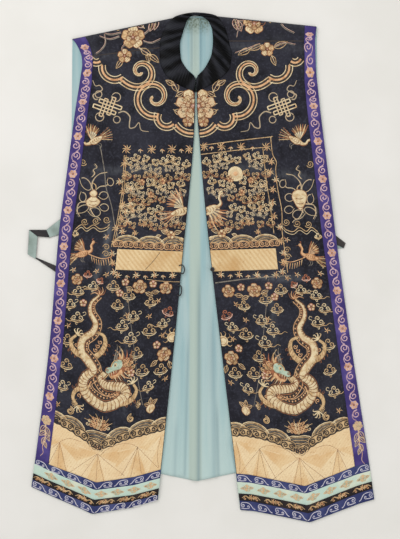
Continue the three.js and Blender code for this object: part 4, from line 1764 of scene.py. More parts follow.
@dataclass
class Bloom(Motif):
    """An open flower: rings of lobed petals about an eye."""

    radius: float = 24.0
    rings: tuple[int, ...] = (5,)
    petal: Tone = Tone.CREAM
    under: Tone = Tone.GOLD
    outline: Tone = Tone.BROWN

    def draw(self, pen: Pen) -> None:
        """Draw the petals from the outer ring in, then the eye.

        Args:
            pen: The pen that draws.
        """
        size = self.radius
        for index, count in enumerate(self.rings):
            reach = size * (1 - index / (len(self.rings) + 0.5))
            wide = 0.92 * math.pi * reach / count
            for k in range(count):
                part = pen.at(0, 0, 1, 360 * (k + 0.5 * (index % 2)) / count + 18)
                tone = self.petal if (k + index) % 2 else self.under
                shape = [
                    (0.22 * reach, 0), (0.55 * reach, -0.72 * wide), (0.93 * reach, -0.55 * wide),
                    (0.98 * reach, 0), (0.93 * reach, 0.55 * wide), (0.55 * reach, 0.72 * wide),
                ]
                part.fill(tone, shape, 0.5 + 0.35 * index)
                part.line(self.outline, shape, 1.3, 4, 0.95 + 0.35 * index, True)
                if reach > 9:
                    for side in (-0.34, 0.0, 0.34):
                        vein = [(0.4 * reach, side * wide), (0.8 * reach, 1.3 * side * wide)]
                        part.line(self.outline, vein, 0.8, 0, 0.95 + 0.35 * index)
        heart = 0.2 * size
        pen.dot(self.outline, 0, 0, heart * 1.1, 1.3)
        pen.dot(Tone.ROSE, 0, 0, heart * 0.8, 1.6)
        pen.line(self.outline, spiral(0, 0, heart * 0.7, 0, 1.2), 0.7, 1, 1.9)


@dataclass
class Rosette(Motif):
    """A small flat flower of the ribbons."""

    radius: float = 8.5
    petals: int = 6

    def draw(self, pen: Pen) -> None:
        """Draw the petals and the heart.

        Args:
            pen: The pen that draws.
        """
        for k in range(self.petals):
            part = pen.at(0, 0, 1, 360 * k / self.petals)
            reach, half = self.radius, 0.46 * self.radius
            shape = [(1.2, 0), (0.6 * reach, -half), (reach, -0.3 * half), (reach, 0.3 * half), (0.6 * reach, half)]
            part.fill(Tone.AMBER, shape, 0.4, 3)
            part.line(Tone.PINK, shape, 1.2, 3, 0.7, True)
        pen.dot(Tone.RUST, 0, 0, 2.6, 1.2)
        pen.dot(Tone.CREAM, 0, 0, 1.1, 1.6)


@dataclass
class EndlessKnot(Motif):
    """The interlaced knot: loops of cord through each other, with trailing ends."""

    half: float = 24.0
    loops: int = 2
    pitch: float = 7.0
    cord: float = 2.5

    def draw(self, pen: Pen) -> None:
        """Draw the long loops both ways, the corner rings and the ends.

        Args:
            pen: The pen that draws.
        """
        narrow = self.pitch / 2
        for k in range(self.loops):
            offset = (2 * k - self.loops + 1) * self.pitch
            shift = 4.0 * (2 * k - self.loops + 1)
            for tone, reach, tall in ((Tone.CREAM, self.half, False), (Tone.PEACH, 0.78 * self.half, True)):
                left, right, low, high = shift - reach, shift + reach, offset - narrow, offset + narrow
                box = [(left, low), (right, low), (right, high), (left, high), (left, low)]
                loop = [(y, x) for x, y in box] if tall else box
                pen.line(tone, loop, self.cord, 0, 0.7 + 0.2 * tall)
        for x, y, radius in ((8, 25, 8.5), (-10, -25, 9), (-27, 18, 7), (26, -18, 7)):
            pen.line(Tone.GREY, arc(x, y, radius, 0, 350), 2.4, 1)
            pen.line(Tone.PEACH, arc(x, y, radius, 0, 350), 1.1, 1, 0.9)
        ends = (
            [(-25, 4), (-36, -3), (-50, 3), (-54, 16), (-58, 25), (-67, 20), (-72, 8), (-81, 21), (-97, 19)],
            [(24, -8), (30, -6), (36, -13), (28, -22), (22, -30), (30, -36), (38, -32), (47, -41)],
        )
        for path in ends:
            pen.line(Tone.GREY, path, (3.6, 3.0, 1.6), 6)
            pen.line(Tone.PEACH, path, (1.4, 0.8), 6, 0.9)


@dataclass
class Bird(Motif):
    """A long-necked bird with open wings, its head towards +X."""

    body: Tone = Tone.CREAM
    feather: Tone = Tone.GOLD
    edge: Tone = Tone.BROWN
    tail_curls: int = 2
    wing: float = 34.0
    fan: float = 104.0

    def draw(self, pen: Pen) -> None:
        """Draw wings, tail, body, neck, head and legs.

        Args:
            pen: The pen that draws.
        """
        for k in range(9):
            turn = math.radians(self.fan + 9 * k)
            reach = self.wing * (1 - 0.04 * k)
            flight = (self.feather if k % 2 else self.edge, 1.0, (2.2, 4.0, 1.2), 0.5)
            coverts = (Tone.GREY if k % 2 else self.body, 0.52, (2.4, 3.4, 1.8), 0.95)
            for tone, share, width, lift in (flight, coverts):
                far = share * reach
                tip = (2 + far * math.cos(turn), 4 + far * math.sin(turn))
                bend = (1 + 0.55 * far * math.cos(turn - 0.16), 4 + 0.55 * far * math.sin(turn - 0.16))
                pen.line(tone, [(4, 4), bend, tip], width, 4, lift)
        for k in range(6):
            turn = math.radians(182 + 11 * k)
            tip = (-8 + 28 * math.cos(turn), -2 + 28 * math.sin(turn))
            pen.line(self.feather if k % 2 else self.edge, [(-4, -2), tip], (2.8, 1.4), 0)
            for step in (0.45, 0.7, 0.95):
                x, y = -4 + (tip[0] + 4) * step, -2 + (tip[1] + 2) * step
                pen.line(Tone.GREY, [(x + 2.4, y + 2.4), (x, y), (x + 2.4, y - 2.4)], 0.9, 0)
        for k in range(self.tail_curls):
            y = -13 - 7 * k
            pen.line(self.feather, [(-8, -4), (-20, y), (-33, y - 2), (-40, y + 5), (-35, y + 9), (-31, y + 5)], 1.7, 5)
        shape = [(-16, -6), (-8, -9), (3, -8), (11, -2), (12, 5), (4, 6), (-6, 2)]
        pen.fill(self.body, shape, 1.6)
        pen.line(self.edge, shape, 1.1, 4, 1.0, True)
        for k in range(5):
            pen.line(self.edge, arc(-10 + 4.4 * k, -3.4 + 0.8 * k, 3.4, -75, 75), 0.9, 1, 2.1)
        neck = [(8, 2), (14, 4), (18, 9), (16, 16), (19, 23)]
        pen.line(self.edge, [(x + 1.2, y - 1) for x, y in neck], (8, 4.6, 4), 5, 0.6)
        pen.line(self.body, neck, (7, 4, 3.2), 5, 1.5)
        pen.dot(self.body, 20, 24, 3.2, 1.2)
        pen.dot(Tone.DARK, 20.8, 24.6, 0.8, 1.7)
        pen.line(self.edge, [(22.5, 24), (29, 22.5)], (1.6, 0.6), 0, 0.8)
        pen.line(Tone.RUST, [(19, 27), (17, 30), (20, 31)], 1.3, 3)
        for x in (0, 4):
            pen.line(Tone.GREY, [(x, -8), (x - 2, -15), (x + 3, -19)], 1.2, 3)


@dataclass
class WaveMound(Motif):
    """Half rings of a wave, one inside the other."""

    radius: float = 26.0
    rings: int = 7
    squash: float = 0.8

    def draw(self, pen: Pen) -> None:
        """Draw the rings from the crest in.

        Args:
            pen: The pen that draws.
        """
        for k in range(self.rings):
            tone = (Tone.GREY, Tone.GOLD)[k % 2] if k else Tone.CREAM
            reach = self.radius * (1 - k / (self.rings + 1.0))
            pen.line(tone, arc(0, 0, reach, 2, 178, self.squash), 2.1 if k == 0 else 1.5, 1)


@dataclass
class Scroll(Motif):
    """A pair of curls back to back, as on the foot of the waves."""

    ground: Tone = Tone.GOLD
    line: Tone = Tone.DARK
    width: float = 2.5

    def draw(self, pen: Pen) -> None:
        """Draw the padded ground, its rim and the curls, about 26 mm wide.

        Args:
            pen: The pen that draws.
        """
        rim = [(-13, -1), (-11, 6), (-4, 8.5), (4, 8.5), (11, 6), (13, -1), (8, -7), (0, -5), (-8, -7)]
        pen.fill(self.ground, rim, 0.7)
        pen.line(self.line, rim, 1.28 * self.width, 3, 0.9, True)
        for hand in (-1, 1):
            pen.line(self.line, spiral(6 * hand, 0.2, 5.2, 90 - 75 * hand, 1.4 * hand), self.width, 1, 1.3)
        pen.line(Tone.GOLD, [(1.1 * x, 1.12 * y) for x, y in rim[:6]], 1.2, 3, 1.2)


@dataclass
class Pearl(Motif):
    """A ball with curling flames behind it."""

    radius: float = 10.0

    def draw(self, pen: Pen) -> None:
        """Draw the ball and the flames, which stream towards +X.

        Args:
            pen: The pen that draws.
        """
        pen.dot(Tone.CREAM, 0, 0, self.radius, 1.2)
        pen.line(Tone.BROWN, arc(0, 0, self.radius * 0.7, 0, 345), 0.9, 1, 1.3)
        for turn in (-50, -15, 20, 55, 90):
            part = pen.at(0, 0, 1, turn)
            part.line(Tone.GOLD, [(self.radius, -2), (self.radius + 6, -3), (self.radius + 9, 2)], (2.2, 0.7), 4)


@dataclass
class Peach(Motif):
    """A peach on a leafy twig."""

    def draw(self, pen: Pen) -> None:
        """Draw the leaves, the fruit and its cleft.

        Args:
            pen: The pen that draws.
        """
        for turn in (20, 80, 140):
            Leaf(15, 3.5).draw(pen.at(0, 6, 1, turn))
        shape = [(0, 9), (7, 5), (8, -2), (0, -9), (-8, -3), (-7, 5)]
        pen.fill(Tone.CREAM, shape, 1.2)
        pen.line(Tone.BROWN, shape, 1.0, 4, 0.9, True)
        pen.line(Tone.BROWN, [(0, 8), (2.5, 0), (0, -7)], 0.9, 4, 1.4)


@dataclass
class Vessel(Motif):
    """A gourd flask or fan, tied with fluttering ribbons."""

    fan: bool = False

    def draw(self, pen: Pen) -> None:
        """Draw the ribbons, then what they tie.

        Args:
            pen: The pen that draws.
        """
        loops = (
            (20, 33, 17, 50, 0.55), (-23, 8, 10, 0, 0.9), (-27, -20, 10, 20, 0.85), (21, -26, 14, -30, 0.6),
            (-7, -32, 13, 15, 0.8), (-35, 40, 9, 70, 0.8), (24, 2, 11, 80, 0.7),
        )
        for x, y, radius, turn, squash in loops:
            part = pen.at(x, y, 1, turn)
            loop = np.concatenate([arc(0, 0, radius, 0, 300, squash), [(1.25 * radius, -0.2 * radius)]])
            part.line(Tone.GREY, loop, (2.6, 2.0, 1.0), 1)
            part.line(Tone.PEACH, loop, 1.1, 1, 0.9)
        ribbons = (
            [(4, 12), (-12, 28), (-27, 31), (-30, 36)], [(0, 14), (6, 30), (2, 46), (-10, 58), (-26, 62)],
            [(2, -12), (4, -24), (-6, -40), (-16, -44), (-22, -50)], [(10, -8), (30, -12), (33, -30), (26, -44)],
            [(8, 50), (2, 58), (6, 66), (-2, 72), (4, 80)],
        )
        for path in ribbons:
            pen.line(Tone.PEACH, path, (2.2, 1.6, 1.2), 6)
            pen.line(Tone.GREY, [(x + 2.2, y - 1.6) for x, y in path], 1.3, 6)
        if self.fan:
            shape = [(0, -16), (12, 4), (9, 15), (0, 18), (-9, 15), (-12, 4)]
        else:
            shape = [(-4, -15), (8, -13), (11, -4), (4, 3), (7, 9), (0, 15), (-6, 9), (-4, 3), (-12, -5)]
        body = pen.at(0, 0, 1.4)
        body.fill(Tone.CREAM, shape, 1.2)
        body.line(Tone.BROWN, shape, 1.3, 4, 0.9, True)
        for y in (-8, -2, 6):
            body.line(Tone.BROWN, arc(0, y, 7, -150, -30, 0.5), 1.2, 1, 1.7)
        body.line(Tone.GOLD, [(-3, 15), (-2, 22), (3, 26)], 2.0, 4)


@dataclass
class Dragon(Motif):
    """A long winding dragon over the waves: its tail up, its head turned to the opening."""

    path: Array = field(default_factory=lambda: np.array([
        (21, 124), (36, 106), (35, 86), (22, 66), (27, 47), (46, 30), (46, 8), (29, -8), (18, -24),
        (33, -40), (36, -56), (22, -71), (-4, -79), (-31, -77), (-50, -65), (-45, -53), (-26, -49),
        (-6, -45), (5, -35), (-4, -22),
    ], float))
    widths: tuple[float, ...] = (5, 9, 13, 16, 19, 21, 23, 24, 25, 25, 26, 26, 24, 18, 14)
    legs: tuple[tuple[float, ...], ...] = ((46, 2, 32, 1), (30, -60, -30, -1), (14, 8, 118, -1), (-46, -78, 160, -1))

    def draw(self, pen: Pen) -> None:
        """Draw the body and what is set on it.

        Args:
            pen: The pen that draws.
        """
        line = smooth_path(self.path, 10)
        side = sides_of(line)
        share = np.linspace(0, 1, len(line))
        wide = np.interp(share, np.linspace(0, 1, len(self.widths)), self.widths)[:, None]
        for x, y, turn, hand in self.legs:
            self._leg(pen.at(x, y, 1, turn), hand)
        pen.band(Tone.DARK, line - side * 2.0, wide[:, 0] + 10, 0.5)
        pen.band(Tone.CREAM, line + side * wide * 0.1, wide[:, 0] * 0.8, 2.0)
        pen.line(Tone.BROWN, line - side * wide * 0.31, 1.9, 0, 1.5)
        pen.line(Tone.AMBER, line - side * (wide * 0.5 + 4.2), 1.5, 0, 0.9)
        pen.line(Tone.BROWN, line + side * wide * 0.52, 1.3, 0, 0.9)
        for k in range(4, len(line) - 4, 3):
            self._plates(pen, line[k], side[k], float(wide[k, 0]), k > 0.4 * len(line))
        self._tail(pen.at(*self.path[0], 1, 65))
        self._head(pen.at(-31, -12, 1.05, -24))

    @staticmethod
    def _plates(pen: Pen, place: Array, side: Array, wide: float, scaled: bool) -> None:
        """Set a fin on the spine, and belly plates or a fine crease across the body.

        Args:
            pen: The pen that draws.
            place: Where on the middle line.
            side: Unit vector to the left.
            wide: Width of the body there.
            scaled: Whether plates lie there.
        """
        way = np.array([side[1], -side[0]])
        fin = place - side * (wide * 0.42 + 1.9)
        pen.dot(Tone.AMBER, float(fin[0]), float(fin[1]), 1.9, 1.2)
        reach = -0.24 if scaled else 0.28
        middle = (0.48 + reach) / 2
        belly = [place + side * wide * 0.48, place + side * wide * middle + way * 2.6, place + side * wide * reach]
        pen.line(Tone.BROWN, belly, (1.7, 1.2, 0.8) if scaled else (0.9, 0.6), 3, 2.45)

    @staticmethod
    def _tail(pen: Pen) -> None:
        """Draw the tuft at the tail's end.

        Args:
            pen: The pen that draws.
        """
        for k, turn in enumerate((-60, -35, -10, 15, 40, 65)):
            angle = math.radians(turn)
            tip = (19 * math.cos(angle), 19 * math.sin(angle))
            bend = (0.5 * tip[0] - 0.25 * tip[1], 0.5 * tip[1] + 0.25 * tip[0])
            pen.line(Tone.BROWN if k % 2 else Tone.AMBER, [(0, 0), bend, tip], (2.6, 1.8, 0.8), 4)

    @staticmethod
    def _leg(pen: Pen, hand: float) -> None:
        """Draw a leg that reaches along +X and curls to one side, with flames and claws.

        Args:
            pen: The pen that draws.
            hand: Side it turns to, 1 or -1.
        """
        path = [(-6, 0), (10, -5 * hand), (26, -3 * hand), (36, 8 * hand), (33, 22 * hand)]
        pen.line(Tone.DARK, path, (16, 15, 13, 10, 8), 6, 0.4)
        pen.line(Tone.GOLD, path, (12, 11, 9, 6, 5), 6, 1.5)
        for k in range(5):
            pen.line(Tone.BROWN, [(2 + 6 * k, -8 * hand), (5 + 6 * k, -1 * hand)], 1.0, 0, 1.8)
        for k in range(5):
            angle = math.radians(hand * (20 + 36 * k))
            tip = (32 + 12 * math.cos(angle), 24 * hand + 12 * math.sin(angle))
            hook = (tip[0] - 4 * hand * math.sin(angle), tip[1] + 4 * hand * math.cos(angle))
            pen.line(Tone.CREAM, [(32, 24 * hand), tip, hook], (2.8, 2.0, 0.7), 4, 1.0)
        for k in range(3):
            pen.line(Tone.AMBER, spiral(4 + 9 * k, 7 * hand, 4.8, 90 * hand, 1.2 * hand), 1.6, 1, 0.9)
            pen.line(Tone.BROWN, spiral(8 + 9 * k, -11 * hand, 3.8, -90 * hand, 1.1 * hand), 1.4, 1, 0.9)

    @staticmethod
    def _head(pen: Pen) -> None:
        """Draw the head from the side, its snout along +X: mane, horns, jaws, teeth, eye and whiskers.

        Args:
            pen: The pen that draws.
        """
        for k in range(14):
            angle = math.radians(72 + 16 * k)
            reach = 25 + 5 * (k % 3)
            tip = (-6 + reach * math.cos(angle), reach * math.sin(angle))
            bend = (-6 + 0.6 * reach * math.cos(angle + 0.35), 0.6 * reach * math.sin(angle + 0.35))
            tone = (Tone.BROWN, Tone.AMBER, Tone.GOLD, Tone.BROWN, Tone.RUST)[k % 5]
            pen.line(tone, [(-4, 0), bend, tip], (4.6, 3.8, 0.9), 4, 0.8)
        for k in range(9):
            x, y = -17 - 6 * (k % 3), -14 + 8 * (k // 3)
            tone = (Tone.AMBER, Tone.BROWN, Tone.GOLD)[(k + k // 3) % 3]
            pen.line(tone, spiral(x, y, 4.4, 60 * k, 1.3), 1.8, 1, 1.3)
        for lean in (0, 5):
            horn = [(-2 + lean, 11), (-7 + lean, 20), (-15 + lean, 25 + lean), (-17 + lean, 33 + lean)]
            pen.line(Tone.GREY, horn, (3.6, 2.6, 1.0), 5, 1.3)
        pen.fill(Tone.RUST, [(-5, -4), (8, -5), (19, -5), (14, -13), (0, -12)], 1.3)
        pen.fill(Tone.AMBER, [(-8, -7), (2, -10), (13, -12), (19, -8), (16, -15), (5, -18), (-6, -14)], 1.9)
        skull = [(-13, 7), (-4, 13), (6, 11), (13, 6), (20, 8), (25, 3), (21, -3), (8, -4), (-4, -7), (-12, -3)]
        pen.fill(Tone.MINT, skull, 2.6)
        pen.line(Tone.BROWN, skull, 1.3, 4, 1.6, True)
        for x in (4, 9, 14, 19):
            pen.line(Tone.CREAM, [(x, -3.5), (x + 1, -9)], (2.0, 0.8), 0, 2.4)
        for k in range(8):
            x = -10 + 3.4 * k
            hair = [(x, -15), (1.2 * x - 4, -27 - 3 * (k % 2))]
            pen.line(Tone.BROWN if k % 2 else Tone.PEACH, hair, (2.4, 0.9), 0, 1.7)
        pen.dot(Tone.CREAM, 2, 5, 4.8, 3.4)
        pen.dot(Tone.DARK, 2.8, 4.8, 2.2, 4.2)
        pen.line(Tone.GOLD, [(-5, 9), (1, 12.5), (8, 9.5), (11, 5)], 2.2, 4, 3.2)
        pen.line(Tone.BROWN, spiral(20, 3, 3.0, 0, 1.2), 1.4, 1, 3.0)
        for path in ([(22, -2), (32, 0), (36, 10), (30, 15)], [(21, -4), (30, -8), (38, -3)]):
            pen.line(Tone.GOLD, path, (2.0, 0.9), 6, 1.3)


@dataclass
class CloudCollar:
    """The scalloped collar of clouds on the chest: three couched lines side by side."""

    spread: float = 7.3

    def draw(self, pen: Pen) -> None:
        """Draw one half; x is the distance from the centre front, y the height below the fold.

        Args:
            pen: The pen that draws.
        """
        parts = [
            arc(214, -90, 14, -25, -130),
            arc(174, -113, 28, 8, -126),
            spiral(119, -123, 46.4, -21, -1.35, 0.065, 0.6),
            spiral(89, -179, 42, -98, 1.35, 0.07, 1.15)[::-1],
            arc(62, -222, 20.5, 26, -136),
            arc(8, -214, 42.5, -33, -102),
        ]
        for k, part in enumerate(parts):
            path = smooth_path(part, 4)
            side = sides_of(path)
            t = np.linspace(0, 1, len(path))
            near = {2: 1 - smooth_step(t, 0.1, 0.95), 3: smooth_step(t, 0.05, 0.85)}.get(k, np.ones_like(t))
            off = (side.T * self.spread * (0.25 + 0.75 * near)).T
            pen.band(Tone.DARK, path, 17 - 8 * (1 - near), 0.35)
            pen.line(Tone.AMBER, path, 4.2 - 2.4 * (1 - near), 0, 1.4)
            for edge in (path + off, path - off):
                pen.line(Tone.CREAM, edge, 1.9, 0, 0.9)


@dataclass
class CouchedField:
    """A field laid solid with slanting couched threads, raised a little on the silk."""

    cut: FrontCut
    name: str
    sides: tuple[float, float]
    top: Array
    bottom: Array
    step: float = 1.25
    pitch: float = 4.0
    raised: float = 0.6
    peaks: Optional[Array] = None
    finish: CouchedGround = COUCHED

    def build(self) -> None:
        """Build and dress the field."""
        first, last = self.sides
        across = np.linspace(first, last, int((last - first) / self.step))[None, :]
        depth = float(np.max(self.bottom[:, 1]) - np.min(self.top[:, 1]))
        share = np.linspace(0, 1, int(depth / self.step))[:, None]
        upper = np.interp(across, self.top[:, 0], self.top[:, 1])
        lower = np.interp(across, self.bottom[:, 0], self.bottom[:, 1])
        v = upper + (lower - upper) * share
        a = across + 0 * v
        ridge, facet = self._threads(a, v)
        rim = np.minimum(np.minimum(share, 1 - share) * (lower - upper), np.minimum(a - first, last - a))
        place = self.cut.point(a / self.cut.width(v), v)
        x, y = place[..., 0], place[..., 1]
        lie = bed_height(x, y) + FRONT_RISE + CLOTH + 0.05
        z = lie + smooth_step(rim, 0, 2) * self.raised + ridge * 0.22
        faces = grid_faces(*z.shape)
        if self.cut.side is Side.RIGHT:
            faces = faces[:, ::-1]
        cloth = Cloth(np.stack([x, y, z], axis=-1).reshape(-1, 3), faces.tolist())
        carry(add_piece(self.name, cloth, [self.finish.material()]).data, "facet", facet.ravel())

    def _threads(self, a: Array, v: Array) -> tuple[Array, Array]:
        """Height of the threads, and the facet number at each place: broad sweeps over a plain field, painted sheen on
        every other facet of a fan.

        Args:
            a: Distances out.
            v: Distances down.

        Returns:
            Heights and facet numbers.
        """
        slant = a * 0.62 + v * 0.78
        facet = 0.5 + 0.5 * np.sin(a / 31 + v / 47)
        if self.peaks is not None:
            peak = np.argmin(np.abs(a[..., None] - self.peaks[:, 0]) + 0 * v[..., None], axis=-1)
            px, pv = self.peaks[peak, 0], self.peaks[peak, 1]
            turn = np.floor((np.arctan2(a - px, np.maximum(v - pv, 1)) + 1.6) / 0.62)
            slant = np.where(v < pv, a * 0.2 + v, np.hypot(a - px, v - pv))
            # Painted sheen: every other facet of the fan is lighter.
            facet = np.where(v < pv, 0.5, 0.1 + 0.85 * (turn % 2)) + 0.1 * np.sin(a / 9)
        return np.abs(np.sin(math.pi * slant / self.pitch)), facet


# Thread, width and path of the lines about each badge, in distances out and below the seam.
BADGE_LINES = {
    Side.LEFT: (
        (Tone.GREY, 1.8, [
            (200, -227), (186, -281), (180, -314), (164, -355), (152, -400), (143, -424), (136, -475),
        ]),
        (Tone.GOLD, 1.2, [(-2, -512), (36, -513), (72, -511)]),
    ),
    Side.RIGHT: (
        (Tone.GOLD, 1.7, [
            (2, -214), (78, -207), (153, -201), (154, -203), (155, -237), (162, -255),
            (159, -272), (160, -316), (164, -361), (160, -406), (161, -450), (162, -494),
        ]),
        (Tone.GOLD, 1.5, [
            (1, -233), (76, -227), (134, -223), (135, -225), (136, -249), (137, -293), (140, -347), (142, -409),
        ]),
        (Tone.GREY, 2.4, [(4, -508), (71, -503), (137, -501), (168, -501)]),
    ),
}

# Distance out from the front edge, then below the seam, of the upper edge of the solid field.
FIELD_TOP = np.array([(0, 832), (30, 830), (60, 828), (100, 832), (146, 844), (190, 831), (215, 826), (245, 823)])
# The same for the peaks of the fans in it, for the badge's slanting field and how deep that one is.
HEM_PEAKS = np.array([(8.0, 842.0), (58, 851), (144, 851), (225, 860)])
BADGE_FIELD, BADGE_FIELD_DEPTH = np.array([(-2.0, 446.0), (142, 449)]), 45
# Length of one repeat of the side ribbon, one curl in it, and where its rosettes and curls end.
REPEAT, CURL, LAST_ROSETTE, LAST_CURL = 81, 21, 830, 806


@dataclass
class FrontWork:
    """All the embroidery of one front and of its ribbons."""

    cut: FrontCut
    badge_rise: float

    def __post_init__(self) -> None:
        """Take up the two needles and their pens."""
        self.silk_needle = Needle(self.cut)
        self.ribbon_needle = Needle(self.cut, TRIM_RISE + TRIM, False)
        self.chest = Pen(self.silk_needle, self._chest_plane)
        self.panel = Pen(self.silk_needle, self._panel_plane)
        self.edge = Pen(self.ribbon_needle, self._edge_plane)

    def _chest_plane(self, p: Array) -> Array:
        """Plan places from distances off the centre front and below the fold."""
        return np.column_stack([CENTRE_X + self.cut.sign * p[:, 0], FOLD_TOP_Y + p[:, 1]])

    def _panel_plane(self, p: Array) -> Array:
        """Plan places from distances off the front edge and below the seam."""
        return self.cut.point(p[:, 0] / self.cut.width(-p[:, 1]), -p[:, 1])

    def _edge_plane(self, p: Array) -> Array:
        """Plan places from distances off the outer edge and below the seam."""
        return self.cut.point(1 - p[:, 0] / self.cut.width(-p[:, 1]), -p[:, 1])

    def _band_plane(self, row: int) -> Callable[[Array], Array]:
        """Plan places on a hem band from the distance along it and the height above its middle.

        Args:
            row: Number of the band, from the top.

        Returns:
            The plane.
        """

        def plane(p: Array) -> Array:
            """Places on this band.

            Args:
                p: Distances along and above the middle.

            Returns:
                Places on the plan.
            """
            across = p[:, 0] / self.cut.width(self.cut.hem)
            middle = (self.cut.band_top(across, row) + self.cut.band_top(across, row + 1)) / 2
            return self.cut.point(across, middle - p[:, 1])

        return plane

    def _set(self, pen: Pen, motif: Motif, places: Sequence[tuple[float, ...]]) -> None:
        """Draw a motif at places: distance out, distance down, size and turn.

        Args:
            pen: The pen that draws.
            motif: What is drawn.
            places: Where, how large and how turned.
        """
        for out, down, *rest in places:
            size, turn = (*rest, *(1.0, 0.0)[len(rest) :])
            motif.draw(pen.at(out, -down, size, turn))

    def chest_work(self) -> None:
        """Work the cloud collar, its flowers, the knot and the yoke."""
        CloudCollar().draw(self.chest)
        left = self.cut.side is Side.LEFT
        Bloom(37, (7, 6, 5), Tone.CREAM, Tone.PEACH).draw(self.chest.at(6, -197))
        leaves = [(38, 166, 1.1, 62), (47, 152, 0.8, 30), (42, 176, 0.8, 150), (46, 206, 0.9, 205), (44, 192, 0.8, 185)]
        self._set(self.chest, Leaf(26, 6), leaves)
        self._set(self.chest, Bloom(11, (5,)), [(17, 231)])
        seam = [(a, 0.0) for a in range(0, 300, 12)]
        self.panel.line(Tone.DARK, seam, 2.2, 1, 0.4)
        EndlessKnot().draw(self.chest.at(190 if left else 186, -199, 1.05, 200, True))
        self._set(self.chest, Bloom(25, (5, 5)), [(135, 49)] if left else [(126, 19, 0.95)])
        self._set(self.chest, Bloom(15, (5,)), [(153, 89)] if left else [(154, 75)])
        if left:
            leaves = [(119, 73, 1, -146), (99, 86, 0.9, -140), (158, 97, 0.8, -56), (158, 30, 1.1, 12)]
            leaves.append((104, 84, 0.7, -100))
        else:
            leaves = [(142, 66, 0.9, -157), (118, 74, 1, -155), (168, 71, 1.1, 21), (164, 88, 0.8, -70)]
            leaves.append((150, 10, 1, -5))
        self._set(self.chest, Leaf(30, 6), leaves)
        self._set(self.chest, Leaf(26, 6, Tone.ROSE), [(84, 8, 1, -80), (92, 14, 0.9, -75), (112, 28, 1, 40)])
        stems = (
            [(160, 40), (186, 44), (206, 34), (214, 22)], [(196, 42), (194, 62), (202, 76), (214, 86)],
            [(150, 62), (158, 74), (156, 92)], [(112, 58), (96, 62), (84, 58), (72, 52)],
            [(112, 44), (102, 36), (100, 26)], [(150, 26), (166, 14), (184, 14)], [(128, 68), (118, 76), (104, 84)],
            [(164, 48), (184, 54), (206, 48)],
        )
        if not left:
            stems = (
                [(108, 20), (96, 28), (90, 38), (88, 50)], [(104, 14), (90, 16), (82, 26)],
                [(146, 8), (164, 16), (182, 16), (196, 8)], [(180, 16), (192, 30), (212, 41)],
                [(138, 64), (112, 74), (84, 84)], [(168, 70), (190, 62), (214, 66)],
            )
        for path in stems:
            points = [(x, -y) for x, y in path]
            self.chest.line(Tone.GREY, points, (2.4, 1.2), 6)
            self.chest.line(Tone.ROSE, [(x + 1.2, y + 2.2) for x, y in points], 1.0, 6)
        Bird(tail_curls=0, wing=34).draw(self.chest.at(217, -270, 1.1, -48))

    def badge_work(self) -> None:
        """Work the square badge: its frame of sprigs, clouds, bird, waves and the field's upper edge."""
        rise = self.badge_rise
        pen = self.panel.at(0, rise)
        left = self.cut.side is Side.LEFT
        for offset in (0, 4) if left else ():
            side = [(143 + offset, -243), (141 + offset, -330), (147 + offset, -411), (151 + offset, -445)]
            pen.line(Tone.GOLD, side, 1.3, 8)
        for tone, width, path in BADGE_LINES[self.cut.side]:
            self.panel.line(tone, path, width, 4)
        top = [(143, 230), (113, 229), (89, 228), (66, 227), (46, 226), (25, 225), (8, 225)]
        bottom = [(136, 506), (115, 505), (96, 504), (76, 503), (57, 501), (38, 500), (18, 499)]
        sides = [
            (145, 262), (152, 301), (143, 322), (127, 316), (140, 350), (124, 350), (140, 380), (127, 388),
            (150, 404), (135, 410), (149, 435), (152, 460), (149, 480), (145, 500), (141, 284), (133, 366),
        ]
        if not left:
            sides = [(x + 6, y) for x, y in sides if x > 136]
        self._set(pen, Sprig(Tone.GOLD, 8, 12), top[::2])
        self._set(pen, Sprig(Tone.PEACH, 3, 9, 150), top[1::2] + bottom[1::2])
        self._set(pen, Sprig(Tone.CREAM, 7, 9.5), sides[1::2] + bottom[::2])
        self._set(pen, Sprig(Tone.GOLD, 7, 10), sides[::2])
        self._clouds(pen)
        if left:
            Bird(wing=36, tail_curls=1, feather=Tone.AMBER).draw(pen.at(15, -358, 1.35, 0, True))
        else:
            Bird(wing=40, tail_curls=0, feather=Tone.AMBER, fan=272).draw(pen.at(9, -358, 1.4))
            for tone, radius in ((Tone.CREAM, 16), (Tone.PEACH, 11), (Tone.AMBER, 6.5)):
                pen.dot(tone, 72, -285, radius, 2.6 - 0.1 * radius)
        Bloom(9, (5,)).draw(pen.at(30, -412))
        leaves = [(24, 408, 1, 160), (36, 408, 1, 15), (12, 418, 0.8, 200), (52, 414, 0.7, -20)]
        self._set(pen, Leaf(17, 4, Tone.CREAM), leaves)
        self._set(pen, WaveMound(29, 7, 0.66), [(122, 437), (72, 436), (22, 434)])
        self._set(pen, Scroll(Tone.DARK, Tone.AMBER, 1.3), [(x, 438, 0.86) for x in range(9, 142, 22)])
        if left:
            pen.line(Tone.DARK, [(78, -490), (62, -470), (50, -451)], 1.4, 4, 1.1)

